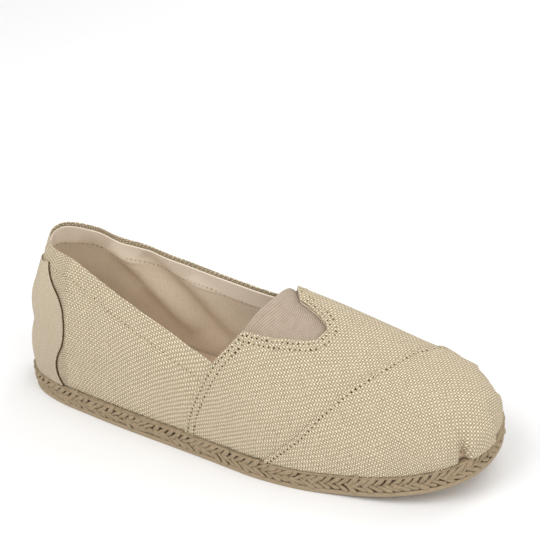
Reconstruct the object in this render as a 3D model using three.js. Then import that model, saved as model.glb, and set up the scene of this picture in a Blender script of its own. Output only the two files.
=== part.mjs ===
// Right-foot slip-on espadrille: canvas upper on a braided jute sole with a thin rubber outsole.
// Millimetres. X runs from heel to toe, Y from the outer side (-) to the inner side (+), Z up.
import * as THREE from "three";
import { mergeVertices } from "three/addons/utils/BufferGeometryUtils.js";

// Driving dimensions.
const SOLE_LENGTH = 265;
const BALL_WIDTH = 89;
const HEEL_HEIGHT = 92;
const INSTEP_HEIGHT = 83;
const TOE_SPRING = 14;
const OUTSOLE_THICKNESS = 2.4;
const SOLE_HEIGHT = 11.1;
const SOLE_LEDGE = 2.4;
const UPPER_WALL = 1.6;
const VAMP_STEP = 0.7;
const TOE_PANEL_STEP = 0.6;
const COUNTER_THICKNESS = 1;
const INSOLE_THICKNESS = 3;
const GORE_THICKNESS = 1.2;
const GORE_LAP = 8;
const STRAND_PITCH = 5.6;
const STRAND_RELIEF = 0.9;
const EDGE_BEVEL = 0.5;
const FIT_GAP = 0.3;
const INSOLE_GAP = 0.8;
const COUNTER_GAP = 0.62;
const GORE_GAP = 1.4;

// Places along the shoe, as shares of the sole length.
const SPRING_START = 0.66;
const HEEL_POLE = 0.143;
const TOE_POLE = 0.849;
const THROAT_CORNER = 0.5483;
const THROAT_END = 0.6795;
const LEAN_REACH = 0.17;

// How far the end of the throat lies from the ridge, towards the outer side, as a share of girth.
const THROAT_LEAN = 0.14;

// Free edge of the gore, in widths of its lap: how far it starts behind the throat's corners, and
// how far its foremost place lies in front of its ends. A lean under 1 moves that place inwards.
const GORE_START = 0.5;
const GORE_DIP = 1.65;
const GORE_LEAN = 0.8;

// Outline of the sole. at: share of the length. outer, inner: shares of the ball width.
const OUTLINE = [
  { at: 0, outer: 0, inner: 0 },
  { at: 0.015, outer: 0.137, inner: 0.151 },
  { at: 0.05, outer: 0.254, inner: 0.262 },
  { at: 0.11, outer: 0.329, inner: 0.339 },
  { at: 0.2, outer: 0.375, inner: 0.36 },
  { at: 0.3, outer: 0.413, inner: 0.333 },
  { at: 0.4, outer: 0.443, inner: 0.31 },
  { at: 0.5, outer: 0.474, inner: 0.339 },
  { at: 0.6, outer: 0.506, inner: 0.42 },
  { at: 0.68, outer: 0.499, inner: 0.489 },
  { at: 0.76, outer: 0.464, inner: 0.528 },
  { at: 0.84, outer: 0.427, inner: 0.52 },
  { at: 0.91, outer: 0.364, inner: 0.447 },
  { at: 0.96, outer: 0.272, inner: 0.344 },
  { at: 0.99, outer: 0.156, inner: 0.191 },
  { at: 1, outer: 0, inner: 0 },
];

// Sections of the last. heel, instep: shares of those heights that add up to the ridge.
// side, crest: fullness of the wall and of the ridge. shift: ridge offset, share of ball width.
const LAST = [
  { at: 0, heel: 1, instep: 0, side: 3.4, crest: 2.8, shift: 0 },
  { at: 0.03, heel: 1, instep: 0, side: 3, crest: 2.3, shift: 0 },
  { at: 0.1, heel: 1, instep: 0, side: 2.6, crest: 1.8, shift: 0 },
  { at: 0.25, heel: 0.5, instep: 0.54, side: 2.4, crest: 1.8, shift: 0.011 },
  { at: 0.4, heel: 0, instep: 1, side: 2.4, crest: 1.9, shift: 0.045 },
  { at: 0.5, heel: 0, instep: 0.88, side: 2.35, crest: 2, shift: 0.079 },
  { at: 0.58, heel: 0, instep: 0.795, side: 2.3, crest: 2, shift: 0.101 },
  { at: 0.66, heel: 0, instep: 0.699, side: 2.25, crest: 1.95, shift: 0.112 },
  { at: 0.74, heel: 0, instep: 0.59, side: 2.2, crest: 1.95, shift: 0.101 },
  { at: 0.82, heel: 0, instep: 0.482, side: 2.2, crest: 2.1, shift: 0.067 },
  { at: 0.9, heel: 0, instep: 0.404, side: 2.3, crest: 2.3, shift: 0.034 },
  { at: 1, heel: 0, instep: 0.369, side: 2.3, crest: 2.4, shift: 0 },
];

// Forward lean of the heel's back. at, push: shares of the heel height.
const HEEL_LEAN = [
  { at: 0, push: 0.003 },
  { at: 0.087, push: 0.003 },
  { at: 0.217, push: 0.013 },
  { at: 0.348, push: 0.028 },
  { at: 0.478, push: 0.05 },
  { at: 0.587, push: 0.07 },
  { at: 0.674, push: 0.093 },
  { at: 0.804, push: 0.114 },
  { at: 1.087, push: 0.13 },
];

// Collar line. at: share of the length. outer, inner: shares of the girth, from sole edge to ridge.
const COLLAR = [
  { at: 0, outer: 0.565, inner: 0.565 },
  { at: 0.05, outer: 0.59, inner: 0.562 },
  { at: 0.117, outer: 0.613, inner: 0.553 },
  { at: 0.145, outer: 0.612, inner: 0.54 },
  { at: 0.183, outer: 0.585, inner: 0.526 },
  { at: 0.23, outer: 0.547, inner: 0.516 },
  { at: 0.29, outer: 0.507, inner: 0.507 },
  { at: 0.352, outer: 0.47, inner: 0.511 },
  { at: 0.41, outer: 0.438, inner: 0.514 },
  { at: 0.45, outer: 0.415, inner: 0.517 },
  { at: 0.502, outer: 0.392, inner: 0.521 },
  { at: 0.56, outer: 0.37, inner: 0.524 },
];

// Edge of the throat. at: share of the way from its corner to its end. outer, inner: shares of
// the girth. More than 1 lies past the ridge, on the other side.
const THROAT = [
  { at: 0, outer: 0.628, inner: 0.545 },
  { at: 0.06, outer: 0.634, inner: 0.565 },
  { at: 0.17, outer: 0.6435, inner: 0.68 },
  { at: 0.3, outer: 0.6555, inner: 0.87 },
  { at: 0.43, outer: 0.671, inner: 0.995 },
  { at: 0.6, outer: 0.698, inner: 1.032 },
  { at: 0.76, outer: 0.726, inner: 1.058 },
  { at: 0.89, outer: 0.756, inner: 1.088 },
  { at: 0.97, outer: 0.799, inner: 1.114 },
  { at: 1, outer: 1 - THROAT_LEAN, inner: 1 + THROAT_LEAN },
];

// Rear edge of the vamp. at: share of the girth. outer, inner: shares of the length.
const VAMP_SEAM = [
  { at: 0, outer: 0.4347, inner: 0.4347 },
  { at: 0.095, outer: 0.4453, inner: 0.4453 },
  { at: 0.18, outer: 0.4596, inner: 0.4625 },
  { at: 0.279, outer: 0.4792, inner: 0.486 },
  { at: 0.392, outer: 0.5011, inner: 0.5135 },
  { at: 0.508, outer: 0.5275, inner: 0.541 },
  { at: 0.628, outer: THROAT_CORNER, inner: 0.549 },
  { at: 0.8, outer: 0.565, inner: 0.545 },
  { at: 1, outer: 0.5736, inner: 0.53 },
];

// Edge of the toe panel. at: share of the girth. outer, inner: shares of the length.
const TOE_SEAM = [
  { at: 0, outer: 0.6158, inner: 0.766 },
  { at: 0.202, outer: 0.6826, inner: 0.801 },
  { at: 0.386, outer: 0.7211, inner: 0.828 },
  { at: 0.552, outer: 0.7536, inner: 0.8425 },
  { at: 0.699, outer: 0.7815, inner: 0.8445 },
  { at: 0.85, outer: 0.8034, inner: 0.8385 },
  { at: 1, outer: 0.8215, inner: 0.8215 },
];

// Front edge of the heel counter. at: share of the girth. place: share of the length.
const COUNTER_EDGE = [
  { at: 0, place: 0.1313 },
  { at: 0.055, place: 0.1181 },
  { at: 0.104, place: 0.1155 },
  { at: 0.15, place: 0.1208 },
  { at: 0.21, place: 0.1345 },
  { at: 0.322, place: 0.1377 },
  { at: 0.372, place: 0.1298 },
  { at: 0.408, place: 0.1132 },
  { at: 0.438, place: 0.0849 },
  { at: 0.465, place: 0.066 },
  { at: 0.506, place: 0.0547 },
  { at: 0.54, place: 0.0585 },
];
const COUNTER_TOP_BACK = 0.36;
const COUNTER_TOP_FRONT = 0.503;

// Side of the jute sole. up: share of its height. out: share of the strand relief.
// strand: how much the strands' ribs show. slant: how far they lean, in strand pitches.
const JUTE_SIDE = [
  { up: 0, out: -0.6, strand: 0, slant: 0 },
  { up: 0.1, out: 0, strand: 0.5, slant: 0.5 },
  { up: 0.32, out: 0, strand: 1, slant: 0 },
  { up: 0.5, out: -0.7, strand: 0.2, slant: -0.5 },
  { up: 0.66, out: -0.2, strand: 0.6, slant: 0 },
  { up: 0.84, out: -0.2, strand: 0, slant: 0 },
  { up: 1, out: -1, strand: 0, slant: 0 },
];

// Counts of faces.
const QUARTER_STATIONS = 18;
const VAMP_REAR_STATIONS = 14;
const VAMP_FRONT_STATIONS = 5;
const TOE_STATIONS = 13;
const UPPER_LEVELS = 12;
const COUNTER_STATIONS = 8;
const COUNTER_LEVELS = 10;
const GORE_STATIONS = 18;
const GORE_ROWS = 8;
const OUTSOLE_STATIONS = 44;
const FACES_PER_STRAND = 2;

// Fineness of the searches along the outline and up the station lines.
const OUTLINE_SAMPLES = 400;
const OPENING_SAMPLES = 200;
const OPENING_HALVINGS = 20;
const TANGENT_TURN = 1e-3;
const MERGE_DISTANCE = 2e-3;

const OUTER = "outer";
const INNER = "inner";
const SIDES = [OUTER, INNER];
const QUARTER_TURN = Math.PI / 2;

// Smooth curve through a table's column, as a function of its at column.
function curve(rows, column, key = "at") {
  const at = rows.map((row) => row[key]);
  const value = rows.map((row) => row[column]);
  const last = at.length - 1;
  const rise = (i) => (value[i + 1] - value[i]) / (at[i + 1] - at[i]);
  const slope = at.map((_, i) => {
    if (i === 0) return rise(0);
    if (i === last) return rise(last - 1);
    const before = at[i] - at[i - 1];
    const after = at[i + 1] - at[i];
    return (rise(i - 1) * after + rise(i) * before) / (before + after);
  });
  return (x) => {
    const t = THREE.MathUtils.clamp(x, at[0], at[last]);
    let i = 0;
    while (i < last - 1 && t > at[i + 1]) i += 1;
    const step = at[i + 1] - at[i];
    const u = (t - at[i]) / step;
    const bend = u * u * (3 - 2 * u);
    const start = slope[i] * step * u * (1 - u) * (1 - u);
    const end = slope[i + 1] * step * u * u * (u - 1);
    return value[i] + (value[i + 1] - value[i]) * bend + start + end;
  };
}

// A share of the length as an angle that runs evenly round both ends of the outline.
const turnOf = (share) => Math.acos(1 - 2 * THREE.MathUtils.clamp(share, 0, 1));
const outlineRows = OUTLINE.map((row) => ({ ...row, turn: turnOf(row.at) }));
const halfWidth = {
  outer: curve(outlineRows, OUTER, "turn"),
  inner: curve(outlineRows, INNER, "turn"),
};
const lastTable = {};
for (const column of ["heel", "instep", "side", "crest", "shift"]) {
  lastTable[column] = curve(LAST, column);
}
const heelLean = curve(HEEL_LEAN, "push");
const collar = { outer: curve(COLLAR, OUTER), inner: curve(COLLAR, INNER) };
const throat = { outer: curve(THROAT, OUTER), inner: curve(THROAT, INNER) };
const vampSeam = { outer: curve(VAMP_SEAM, OUTER), inner: curve(VAMP_SEAM, INNER) };
const toeSeam = { outer: curve(TOE_SEAM, OUTER), inner: curve(TOE_SEAM, INNER) };
const counterEdge = curve(COUNTER_EDGE, "place");

const sign = (side) => (side === OUTER ? -1 : 1);
const opposite = (side) => (side === OUTER ? INNER : OUTER);

// Height of the ground line under a place on the shoe: flat, then rising to the toe.
function springAt(x) {
  const s = THREE.MathUtils.clamp((x / SOLE_LENGTH - SPRING_START) / (1 - SPRING_START), 0, 1);
  return TOE_SPRING * s * s;
}

// Point of the sole's outline, moved outwards by grow.
function outlinePoint(share, side, grow) {
  const turn = turnOf(share);
  const width = (t) => sign(side) * BALL_WIDTH * halfWidth[side](Math.abs(t));
  const along = (t) => (SOLE_LENGTH * (1 - Math.cos(t))) / 2;
  const from = Math.max(turn - TANGENT_TURN, 0);
  const to = Math.min(turn + TANGENT_TURN, Math.PI);
  const tangent = new THREE.Vector2(along(to) - along(from), width(to) - width(from));
  if (turn < TANGENT_TURN || turn > Math.PI - TANGENT_TURN) tangent.x = 0;
  tangent.normalize();
  const flip = -sign(side);
  return new THREE.Vector2(
    along(turn) + flip * tangent.y * grow,
    width(turn) - flip * tangent.x * grow,
  );
}

// Point of the last. share: place along the sole. girth: 0 at the sole's edge, 1 at the ridge,
// more than 1 past the ridge.
function lastPoint(share, side, girth, grow) {
  if (girth > 1) return lastPoint(share, opposite(side), 2 - girth, grow);
  const base = outlinePoint(share, side, grow - SOLE_LEDGE);
  const spine = THREE.MathUtils.clamp(share, HEEL_POLE, TOE_POLE);
  const middle = (halfWidth.inner(turnOf(spine)) - halfWidth.outer(turnOf(spine))) / 2;
  const spineX = spine * SOLE_LENGTH;
  const spineY = BALL_WIDTH * (middle + lastTable.shift(spine));
  const angle = girth * QUARTER_TURN;
  const reach = girth >= 1 ? 0 : Math.cos(angle) ** (2 / lastTable.side(share));
  const lift = Math.sin(angle) ** (2 / lastTable.crest(share));
  const x = spineX + (base.x - spineX) * reach;
  const at = x / SOLE_LENGTH;
  const ridge = HEEL_HEIGHT * lastTable.heel(at) + INSTEP_HEIGHT * lastTable.instep(at) + grow;
  const rise = ridge * lift;
  const fade = Math.exp(-((at / LEAN_REACH) ** 2));
  const push = HEEL_HEIGHT * heelLean(rise / HEEL_HEIGHT) * fade;
  return new THREE.Vector3(
    x + push,
    spineY + (base.y - spineY) * reach,
    SOLE_HEIGHT + FIT_GAP + springAt(x) + rise,
  );
}

// First girth at which a station line meets the opening's edge, or else the highest girth.
function openingGirth(placeAt, edge, highest = 1) {
  let low = 0;
  for (let i = 1; i <= OPENING_SAMPLES; i += 1) {
    let high = (highest * i) / OPENING_SAMPLES;
    if (high >= edge(placeAt(high))) {
      for (let k = 0; k < OPENING_HALVINGS; k += 1) {
        const mid = (low + high) / 2;
        if (mid >= edge(placeAt(mid))) high = mid;
        else low = mid;
      }
      return high;
    }
    low = high;
  }
  return highest;
}

// Girth at which the two sides join, between the throat's end (0) and the toe panel (1).
function joinGirth(forward, side) {
  return 1 + sign(side) * THROAT_LEAN * (1 - forward);
}

// Girth of the throat's edge at a place along the sole.
function throatEdge(place, side) {
  const along = (place - THROAT_CORNER) / (THROAT_END - THROAT_CORNER);
  return throat[side](along);
}

// Station lines of the upper on one side, from heel to toe.
function upperStations(side) {
  const stations = [];
  const seamWidth = VAMP_STEP / SOLE_LENGTH;
  for (let i = 0; i <= QUARTER_STATIONS; i += 1) {
    const s = 1 - Math.cos((i / QUARTER_STATIONS) * QUARTER_TURN);
    const placeAt = (girth) => s * vampSeam[side](girth);
    stations.push({ placeAt, top: openingGirth(placeAt, collar[side]), step: 0 });
  }
  const toeAt = toeSeam[side];
  const throatFoot = (vampSeam[side](0) + toeAt(0)) / 2;
  const throatLine = (level) => THROAT_END - (THROAT_END - throatFoot) * (1 - level) ** 2;
  const throatTop = joinGirth(0, side);
  const edge = (place) => throatEdge(place, side);
  for (let i = 0; i < VAMP_REAR_STATIONS; i += 1) {
    const s = (1 - Math.cos((i / VAMP_REAR_STATIONS) * Math.PI)) / 2;
    const placeAt = (girth) => {
      const from = vampSeam[side](girth) + seamWidth;
      return from + (throatLine(girth / throatTop) - from) * s;
    };
    stations.push({ placeAt, top: openingGirth(placeAt, edge, throatTop), step: VAMP_STEP });
  }
  for (let i = 0; i <= VAMP_FRONT_STATIONS; i += 1) {
    const s = i / VAMP_FRONT_STATIONS;
    const top = joinGirth(s, side);
    const placeAt = (girth) => {
      const from = throatLine(girth / top);
      return from + (toeAt(girth / top) - from) * s;
    };
    stations.push({ placeAt, top, step: VAMP_STEP, joined: true });
  }
  for (let i = 0; i <= TOE_STATIONS; i += 1) {
    const s = Math.sin((i / TOE_STATIONS) * QUARTER_TURN);
    const placeAt = (girth) => {
      const from = toeAt(girth) + (TOE_PANEL_STEP / SOLE_LENGTH) * Math.cos(girth * QUARTER_TURN);
      return from + (1 - from) * s;
    };
    stations.push({ placeAt, top: 1, step: VAMP_STEP + TOE_PANEL_STEP, joined: true });
  }
  return stations.map((station) => ({ ...station, side }));
}

// Row of points up a station line.
function stationRow(station, levels, grow) {
  const row = [];
  for (let j = 0; j <= levels; j += 1) {
    const girth = (station.top * j) / levels;
    row.push(lastPoint(station.placeAt(girth), station.side, girth, grow));
  }
  return row;
}

// Closed solid between two grids of points. loop: the rows run round and meet.
// joined: rows whose top meets that of the other side, so that no edge is left.
function solidBetween(outside, inside, loop, joined = []) {
  const points = [];
  const faces = [];
  const rows = outside.length;
  const columns = outside[0].length;
  for (const grid of [outside, inside]) {
    for (const row of grid) points.push(...row);
  }
  const at = (layer, i, j) => layer * rows * columns + (i % rows) * columns + j;
  const quad = (a, b, c, d) => faces.push(a, b, c, a, c, d);
  const rowEnd = loop ? rows : rows - 1;
  for (let i = 0; i < rowEnd; i += 1) {
    for (let j = 0; j < columns - 1; j += 1) {
      quad(at(0, i, j), at(0, i + 1, j), at(0, i + 1, j + 1), at(0, i, j + 1));
      quad(at(1, i, j), at(1, i, j + 1), at(1, i + 1, j + 1), at(1, i + 1, j));
    }
    quad(at(0, i, 0), at(1, i, 0), at(1, i + 1, 0), at(0, i + 1, 0));
    const top = columns - 1;
    if (joined[i] && joined[(i + 1) % rows]) continue;
    quad(at(0, i, top), at(0, i + 1, top), at(1, i + 1, top), at(1, i, top));
  }
  if (!loop) {
    const end = rows - 1;
    for (let j = 0; j < columns - 1; j += 1) {
      quad(at(0, 0, j), at(0, 0, j + 1), at(1, 0, j + 1), at(1, 0, j));
      quad(at(0, end, j), at(1, end, j), at(1, end, j + 1), at(0, end, j + 1));
    }
  }
  return geometryOf(points, faces);
}

// Shared vertices are merged, and triangles with no area are dropped.
function geometryOf(points, faces) {
  const raw = new THREE.BufferGeometry();
  raw.setAttribute("position", new THREE.Float32BufferAttribute(points.flatMap((p) => [...p]), 3));
  raw.setIndex(faces);
  const merged = mergeVertices(raw, MERGE_DISTANCE);
  const index = merged.index.array;
  const kept = [];
  for (let i = 0; i < index.length; i += 3) {
    const [a, b, c] = index.slice(i, i + 3);
    if (a !== b && b !== c && c !== a) kept.push(a, b, c);
  }
  merged.setIndex(kept);
  merged.computeVertexNormals();
  return merged;
}

function upperGeometry() {
  const near = upperStations(OUTER);
  const far = upperStations(INNER).slice(1, -1).reverse();
  const ring = [...near, ...far];
  const outside = ring.map((station) => stationRow(station, UPPER_LEVELS, station.step));
  const inside = ring.map((station) => stationRow(station, UPPER_LEVELS, -UPPER_WALL));
  return solidBetween(outside, inside, true, ring.map((station) => station.joined));
}

// Heel counter: a shell that wraps the quarters' back, with a wavy front edge.
function counterGeometry() {
  const rows = [];
  for (let i = -COUNTER_STATIONS; i <= COUNTER_STATIONS; i += 1) {
    const s = Math.abs(i) / COUNTER_STATIONS;
    rows.push({
      side: i > 0 ? OUTER : INNER,
      placeAt: (girth) => s * s * counterEdge(girth),
      top: THREE.MathUtils.lerp(COUNTER_TOP_BACK, COUNTER_TOP_FRONT, s),
    });
  }
  const outside = rows.map((row) => stationRow(row, COUNTER_LEVELS, COUNTER_GAP + COUNTER_THICKNESS));
  const inside = rows.map((row) => stationRow(row, COUNTER_LEVELS, COUNTER_GAP));
  return solidBetween(outside, inside, false);
}

// Elastic gore: a curved sheet under the throat's edge, with a free edge at the rear.
function goreGeometry() {
  const lap = GORE_LAP / SOLE_LENGTH;
  const rear = THROAT_CORNER - lap * GORE_START;
  const front = THROAT_END + lap;
  const lapGirth = GORE_LAP / INSTEP_HEIGHT;
  const grid = (grow) => {
    const rows = [];
    for (let i = 0; i <= GORE_STATIONS; i += 1) {
      const across = i / GORE_STATIONS;
      const start = rear + lap * GORE_DIP * Math.sin(Math.PI * across ** GORE_LEAN);
      const row = [];
      for (let j = 0; j <= GORE_ROWS; j += 1) {
        const share = start + ((front - start) * j) / GORE_ROWS;
        const under = Math.min(share, THROAT_END - lap);
        const inner = 2 - (throatEdge(under, INNER) - lapGirth);
        const outer = throatEdge(under, OUTER) - lapGirth;
        row.push(lastPoint(share, OUTER, inner + (outer - inner) * across, grow));
      }
      rows.push(row);
    }
    return rows;
  };
  const skin = -UPPER_WALL - GORE_GAP;
  return solidBetween(grid(skin), grid(skin - GORE_THICKNESS), false);
}

// Places of equal arc length along one side of the outline.
function evenShares(side, count) {
  const lengths = [0];
  let before = outlinePoint(0, side, 0);
  const shareAt = (i) => (1 - Math.cos((i / OUTLINE_SAMPLES) * Math.PI)) / 2;
  for (let i = 1; i <= OUTLINE_SAMPLES; i += 1) {
    const now = outlinePoint(shareAt(i), side, 0);
    lengths.push(lengths[i - 1] + now.distanceTo(before));
    before = now;
  }
  const shares = [];
  let k = 0;
  for (let i = 0; i <= count; i += 1) {
    const wanted = (lengths[OUTLINE_SAMPLES] * i) / count;
    while (k < OUTLINE_SAMPLES - 1 && lengths[k + 1] < wanted) k += 1;
    const within = (wanted - lengths[k]) / (lengths[k + 1] - lengths[k]);
    shares.push(shareAt(k + within));
  }
  return { shares, length: lengths[OUTLINE_SAMPLES] };
}

// Flat slab with a profiled side. levels(index) lists grow and height for one station.
function slabGeometry(count, levels) {
  const sides = SIDES.map((side) =>
    evenShares(side, count).shares.map((share, i) =>
      levels(i, side).map(({ grow, z }) => {
        const p = outlinePoint(share, side, grow);
        return new THREE.Vector3(p.x, p.y, z + springAt(p.x));
      }),
    ),
  );
  const ring = [...sides[0], ...sides[1].slice(1, -1).reverse()];
  const columns = ring[0].length;
  const points = ring.flat();
  const faces = [];
  const total = ring.length;
  const at = (i, j) => ((i + total) % total) * columns + j;
  const quad = (a, b, c, d) => faces.push(a, b, c, a, c, d);
  for (let i = 0; i < total; i += 1) {
    for (let j = 0; j < columns - 1; j += 1) {
      quad(at(i, j), at(i + 1, j), at(i + 1, j + 1), at(i, j + 1));
    }
  }
  const top = columns - 1;
  for (let i = 0; i < count; i += 1) {
    quad(at(i, top), at(i + 1, top), at(-i - 1, top), at(-i, top));
    quad(at(i, 0), at(-i, 0), at(-i - 1, 0), at(i + 1, 0));
  }
  return geometryOf(points, faces);
}

function outsoleGeometry() {
  return slabGeometry(OUTSOLE_STATIONS, () => [
    { grow: -2 * EDGE_BEVEL, z: 0 },
    { grow: -EDGE_BEVEL, z: EDGE_BEVEL },
    { grow: -EDGE_BEVEL, z: OUTSOLE_THICKNESS },
  ]);
}

// Jute sole: braided strands show as slanted ribs in two rows, under a plain wrapped edge.
function juteGeometry() {
  const base = OUTSOLE_THICKNESS + FIT_GAP;
  const tall = SOLE_HEIGHT - base;
  const around = evenShares(OUTER, 1).length;
  const count = FACES_PER_STRAND * Math.round(around / STRAND_PITCH);
  return slabGeometry(count, (i) =>
    JUTE_SIDE.map(({ up, out, strand, slant }) => {
      const wave = Math.cos(2 * Math.PI * (i / FACES_PER_STRAND + slant));
      const rib = (STRAND_RELIEF / 2) * strand * (wave - 1);
      return { grow: STRAND_RELIEF * out + rib, z: base + tall * up };
    }),
  );
}

function insoleGeometry() {
  const inset = -SOLE_LEDGE - UPPER_WALL - INSOLE_GAP;
  const base = SOLE_HEIGHT + FIT_GAP;
  return slabGeometry(OUTSOLE_STATIONS, () => [
    { grow: inset, z: base },
    { grow: inset, z: base + INSOLE_THICKNESS - EDGE_BEVEL },
    { grow: inset - EDGE_BEVEL, z: base + INSOLE_THICKNESS },
  ]);
}

const finish = (color, roughness) =>
  new THREE.MeshStandardMaterial({ color, roughness, metalness: 0 });
const rubber = finish(0xb59f7c, 0.7);
const jute = finish(0xa8946f, 0.95);
const canvas = finish(0xc9b48c, 0.95);
const elastic = finish(0xb8a48c, 0.85);
const lining = finish(0xcdb79c, 0.9);

function piece(name, geometry, material) {
  const mesh = new THREE.Mesh(geometry, material);
  mesh.name = name;
  return mesh;
}

const espadrille = new THREE.Group();
espadrille.add(piece("outsole", outsoleGeometry(), rubber));
espadrille.add(piece("jute_sole", juteGeometry(), jute));
espadrille.add(piece("insole", insoleGeometry(), lining));
espadrille.add(piece("upper", upperGeometry(), canvas));
espadrille.add(piece("heel_counter", counterGeometry(), canvas));
espadrille.add(piece("elastic_gore", goreGeometry(), elastic));

// The origin lies on the ground, under the middle of the shoe.
const bounds = new THREE.Box3().setFromObject(espadrille);
const middle = bounds.getCenter(new THREE.Vector3());
espadrille.position.set(-middle.x, -middle.y, -bounds.min.z);

const root = new THREE.Group();
root.add(espadrille);

export default root;
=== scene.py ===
import logging
import math
from collections.abc import Callable
from dataclasses import dataclass, field, replace
from enum import Enum

import bmesh
import bpy
import numpy as np
from mathutils import Matrix, Vector
from mathutils.bvhtree import BVHTree


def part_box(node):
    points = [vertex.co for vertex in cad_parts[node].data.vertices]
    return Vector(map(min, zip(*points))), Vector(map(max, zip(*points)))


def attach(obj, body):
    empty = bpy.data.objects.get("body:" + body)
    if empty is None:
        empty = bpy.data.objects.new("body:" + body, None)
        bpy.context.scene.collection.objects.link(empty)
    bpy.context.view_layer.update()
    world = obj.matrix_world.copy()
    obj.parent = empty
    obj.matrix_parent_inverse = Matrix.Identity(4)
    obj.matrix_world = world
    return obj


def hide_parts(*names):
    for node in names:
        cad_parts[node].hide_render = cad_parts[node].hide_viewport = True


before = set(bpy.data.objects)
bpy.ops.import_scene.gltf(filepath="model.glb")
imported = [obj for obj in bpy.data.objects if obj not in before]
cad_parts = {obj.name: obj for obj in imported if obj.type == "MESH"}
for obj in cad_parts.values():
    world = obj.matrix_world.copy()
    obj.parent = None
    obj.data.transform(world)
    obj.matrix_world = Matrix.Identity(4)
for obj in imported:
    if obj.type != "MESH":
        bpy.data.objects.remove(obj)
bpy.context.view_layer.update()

LOG = logging.getLogger("espadrille")
MM = 0.001
QUARTER_TURN = math.pi / 2
# Samples along a station line when its opening is sought, and when cloth is laid flat.
OPENING_SAMPLES = 4001
CHART_SAMPLES = 60
# Vertices nearer than this become one.
WELD_REACH = 1e-6
# Keeps a division safe where two points meet.
TINY = 1e-9
# Places of the extra steps at a free edge, as multiples of the fine step.
EDGE_STEPS = (.25, .6, 1.0, 1.7)
# Length that no path reaches, for the open end of a trimmed path.
PATH_END = 100.0
# Step between the ribs of the elastic, in its mesh and in its finish.
ELASTIC_RIB = 0.95 * MM

# Outline of the sole. at: share of the length. outer, inner: shares of the ball width.
OUTLINE = {
    "at": (0, .015, .05, .11, .2, .3, .4, .5, .6, .68, .76, .84, .91, .96, .99, 1),
    "outer": (0, .137, .254, .329, .375, .413, .443, .474, .506, .499, .464, .427, .364, .272, .156, 0),
    "inner": (0, .151, .262, .339, .36, .333, .31, .339, .42, .489, .528, .52, .447, .344, .191, 0),
}

# Sections of the last. heel, instep: shares of those heights that add up to the ridge.
# side, crest: fullness of the wall and of the ridge. shift: ridge offset, share of ball width.
LAST = {
    "at": (0, .03, .1, .25, .4, .5, .58, .66, .74, .82, .9, 1),
    "heel": (1, 1, 1, .5, 0, 0, 0, 0, 0, 0, 0, 0),
    "instep": (0, 0, 0, .54, 1, .88, .795, .699, .59, .482, .404, .369),
    "side": (3.4, 3, 2.6, 2.4, 2.4, 2.35, 2.3, 2.25, 2.2, 2.2, 2.3, 2.3),
    "crest": (2.8, 2.3, 1.8, 1.8, 1.9, 2, 2, 1.95, 1.95, 2.1, 2.3, 2.4),
    "shift": (0, 0, 0, .011, .045, .079, .101, .112, .101, .067, .034, 0),
}

# Forward lean of the heel's back. at, push: shares of the heel height.
HEEL_LEAN = {
    "at": (0, .087, .217, .348, .478, .587, .674, .804, 1.087),
    "push": (.003, .003, .013, .028, .05, .07, .093, .114, .13),
}

# Collar line. at: share of the length. outer, inner: shares of the girth.
COLLAR = {
    "at": (0, .05, .117, .145, .183, .23, .29, .352, .41, .45, .502, .56),
    "outer": (.565, .59, .613, .612, .585, .547, .507, .47, .438, .415, .392, .37),
    "inner": (.565, .562, .553, .54, .526, .516, .507, .511, .514, .517, .521, .524),
}

# How far the end of the throat lies from the ridge, towards the outer side, as a share of girth.
THROAT_LEAN = 0.14

# Edge of the throat. at: share of the way from its corner to its end. outer, inner: shares of
# the girth. More than 1 lies past the ridge, on the other side.
THROAT = {
    "at": (0, .06, .17, .3, .43, .6, .76, .89, .97, 1),
    "outer": (.628, .634, .6435, .6555, .671, .698, .726, .756, .799, 1 - THROAT_LEAN),
    "inner": (.545, .565, .68, .87, .995, 1.032, 1.058, 1.088, 1.114, 1 + THROAT_LEAN),
}

# Rear edge of the vamp and edge of the toe panel. at: share of the girth. others: of the length.
VAMP_SEAM = {
    "at": (0, .095, .18, .279, .392, .508, .628, .8, 1),
    "outer": (.4347, .4453, .4596, .4792, .5011, .5275, .5483, .565, .5736),
    "inner": (.4347, .4453, .4625, .486, .5135, .541, .549, .545, .53),
}
TOE_SEAM = {
    "at": (0, .202, .386, .552, .699, .85, 1),
    "outer": (.6158, .6826, .7211, .7536, .7815, .8034, .8215),
    "inner": (.766, .801, .828, .8425, .8445, .8385, .8215),
}

# Front edge of the heel counter. at: share of the girth. place: share of the length.
COUNTER_EDGE = {
    "at": (0, .055, .104, .15, .21, .322, .372, .408, .438, .465, .506, .54),
    "place": (.1313, .1181, .1155, .1208, .1345, .1377, .1298, .1132, .0849, .066, .0547, .0585),
}


class Side(Enum):
    """The two sides of the shoe, by the sign of Y."""

    OUTER = -1
    INNER = 1


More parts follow.
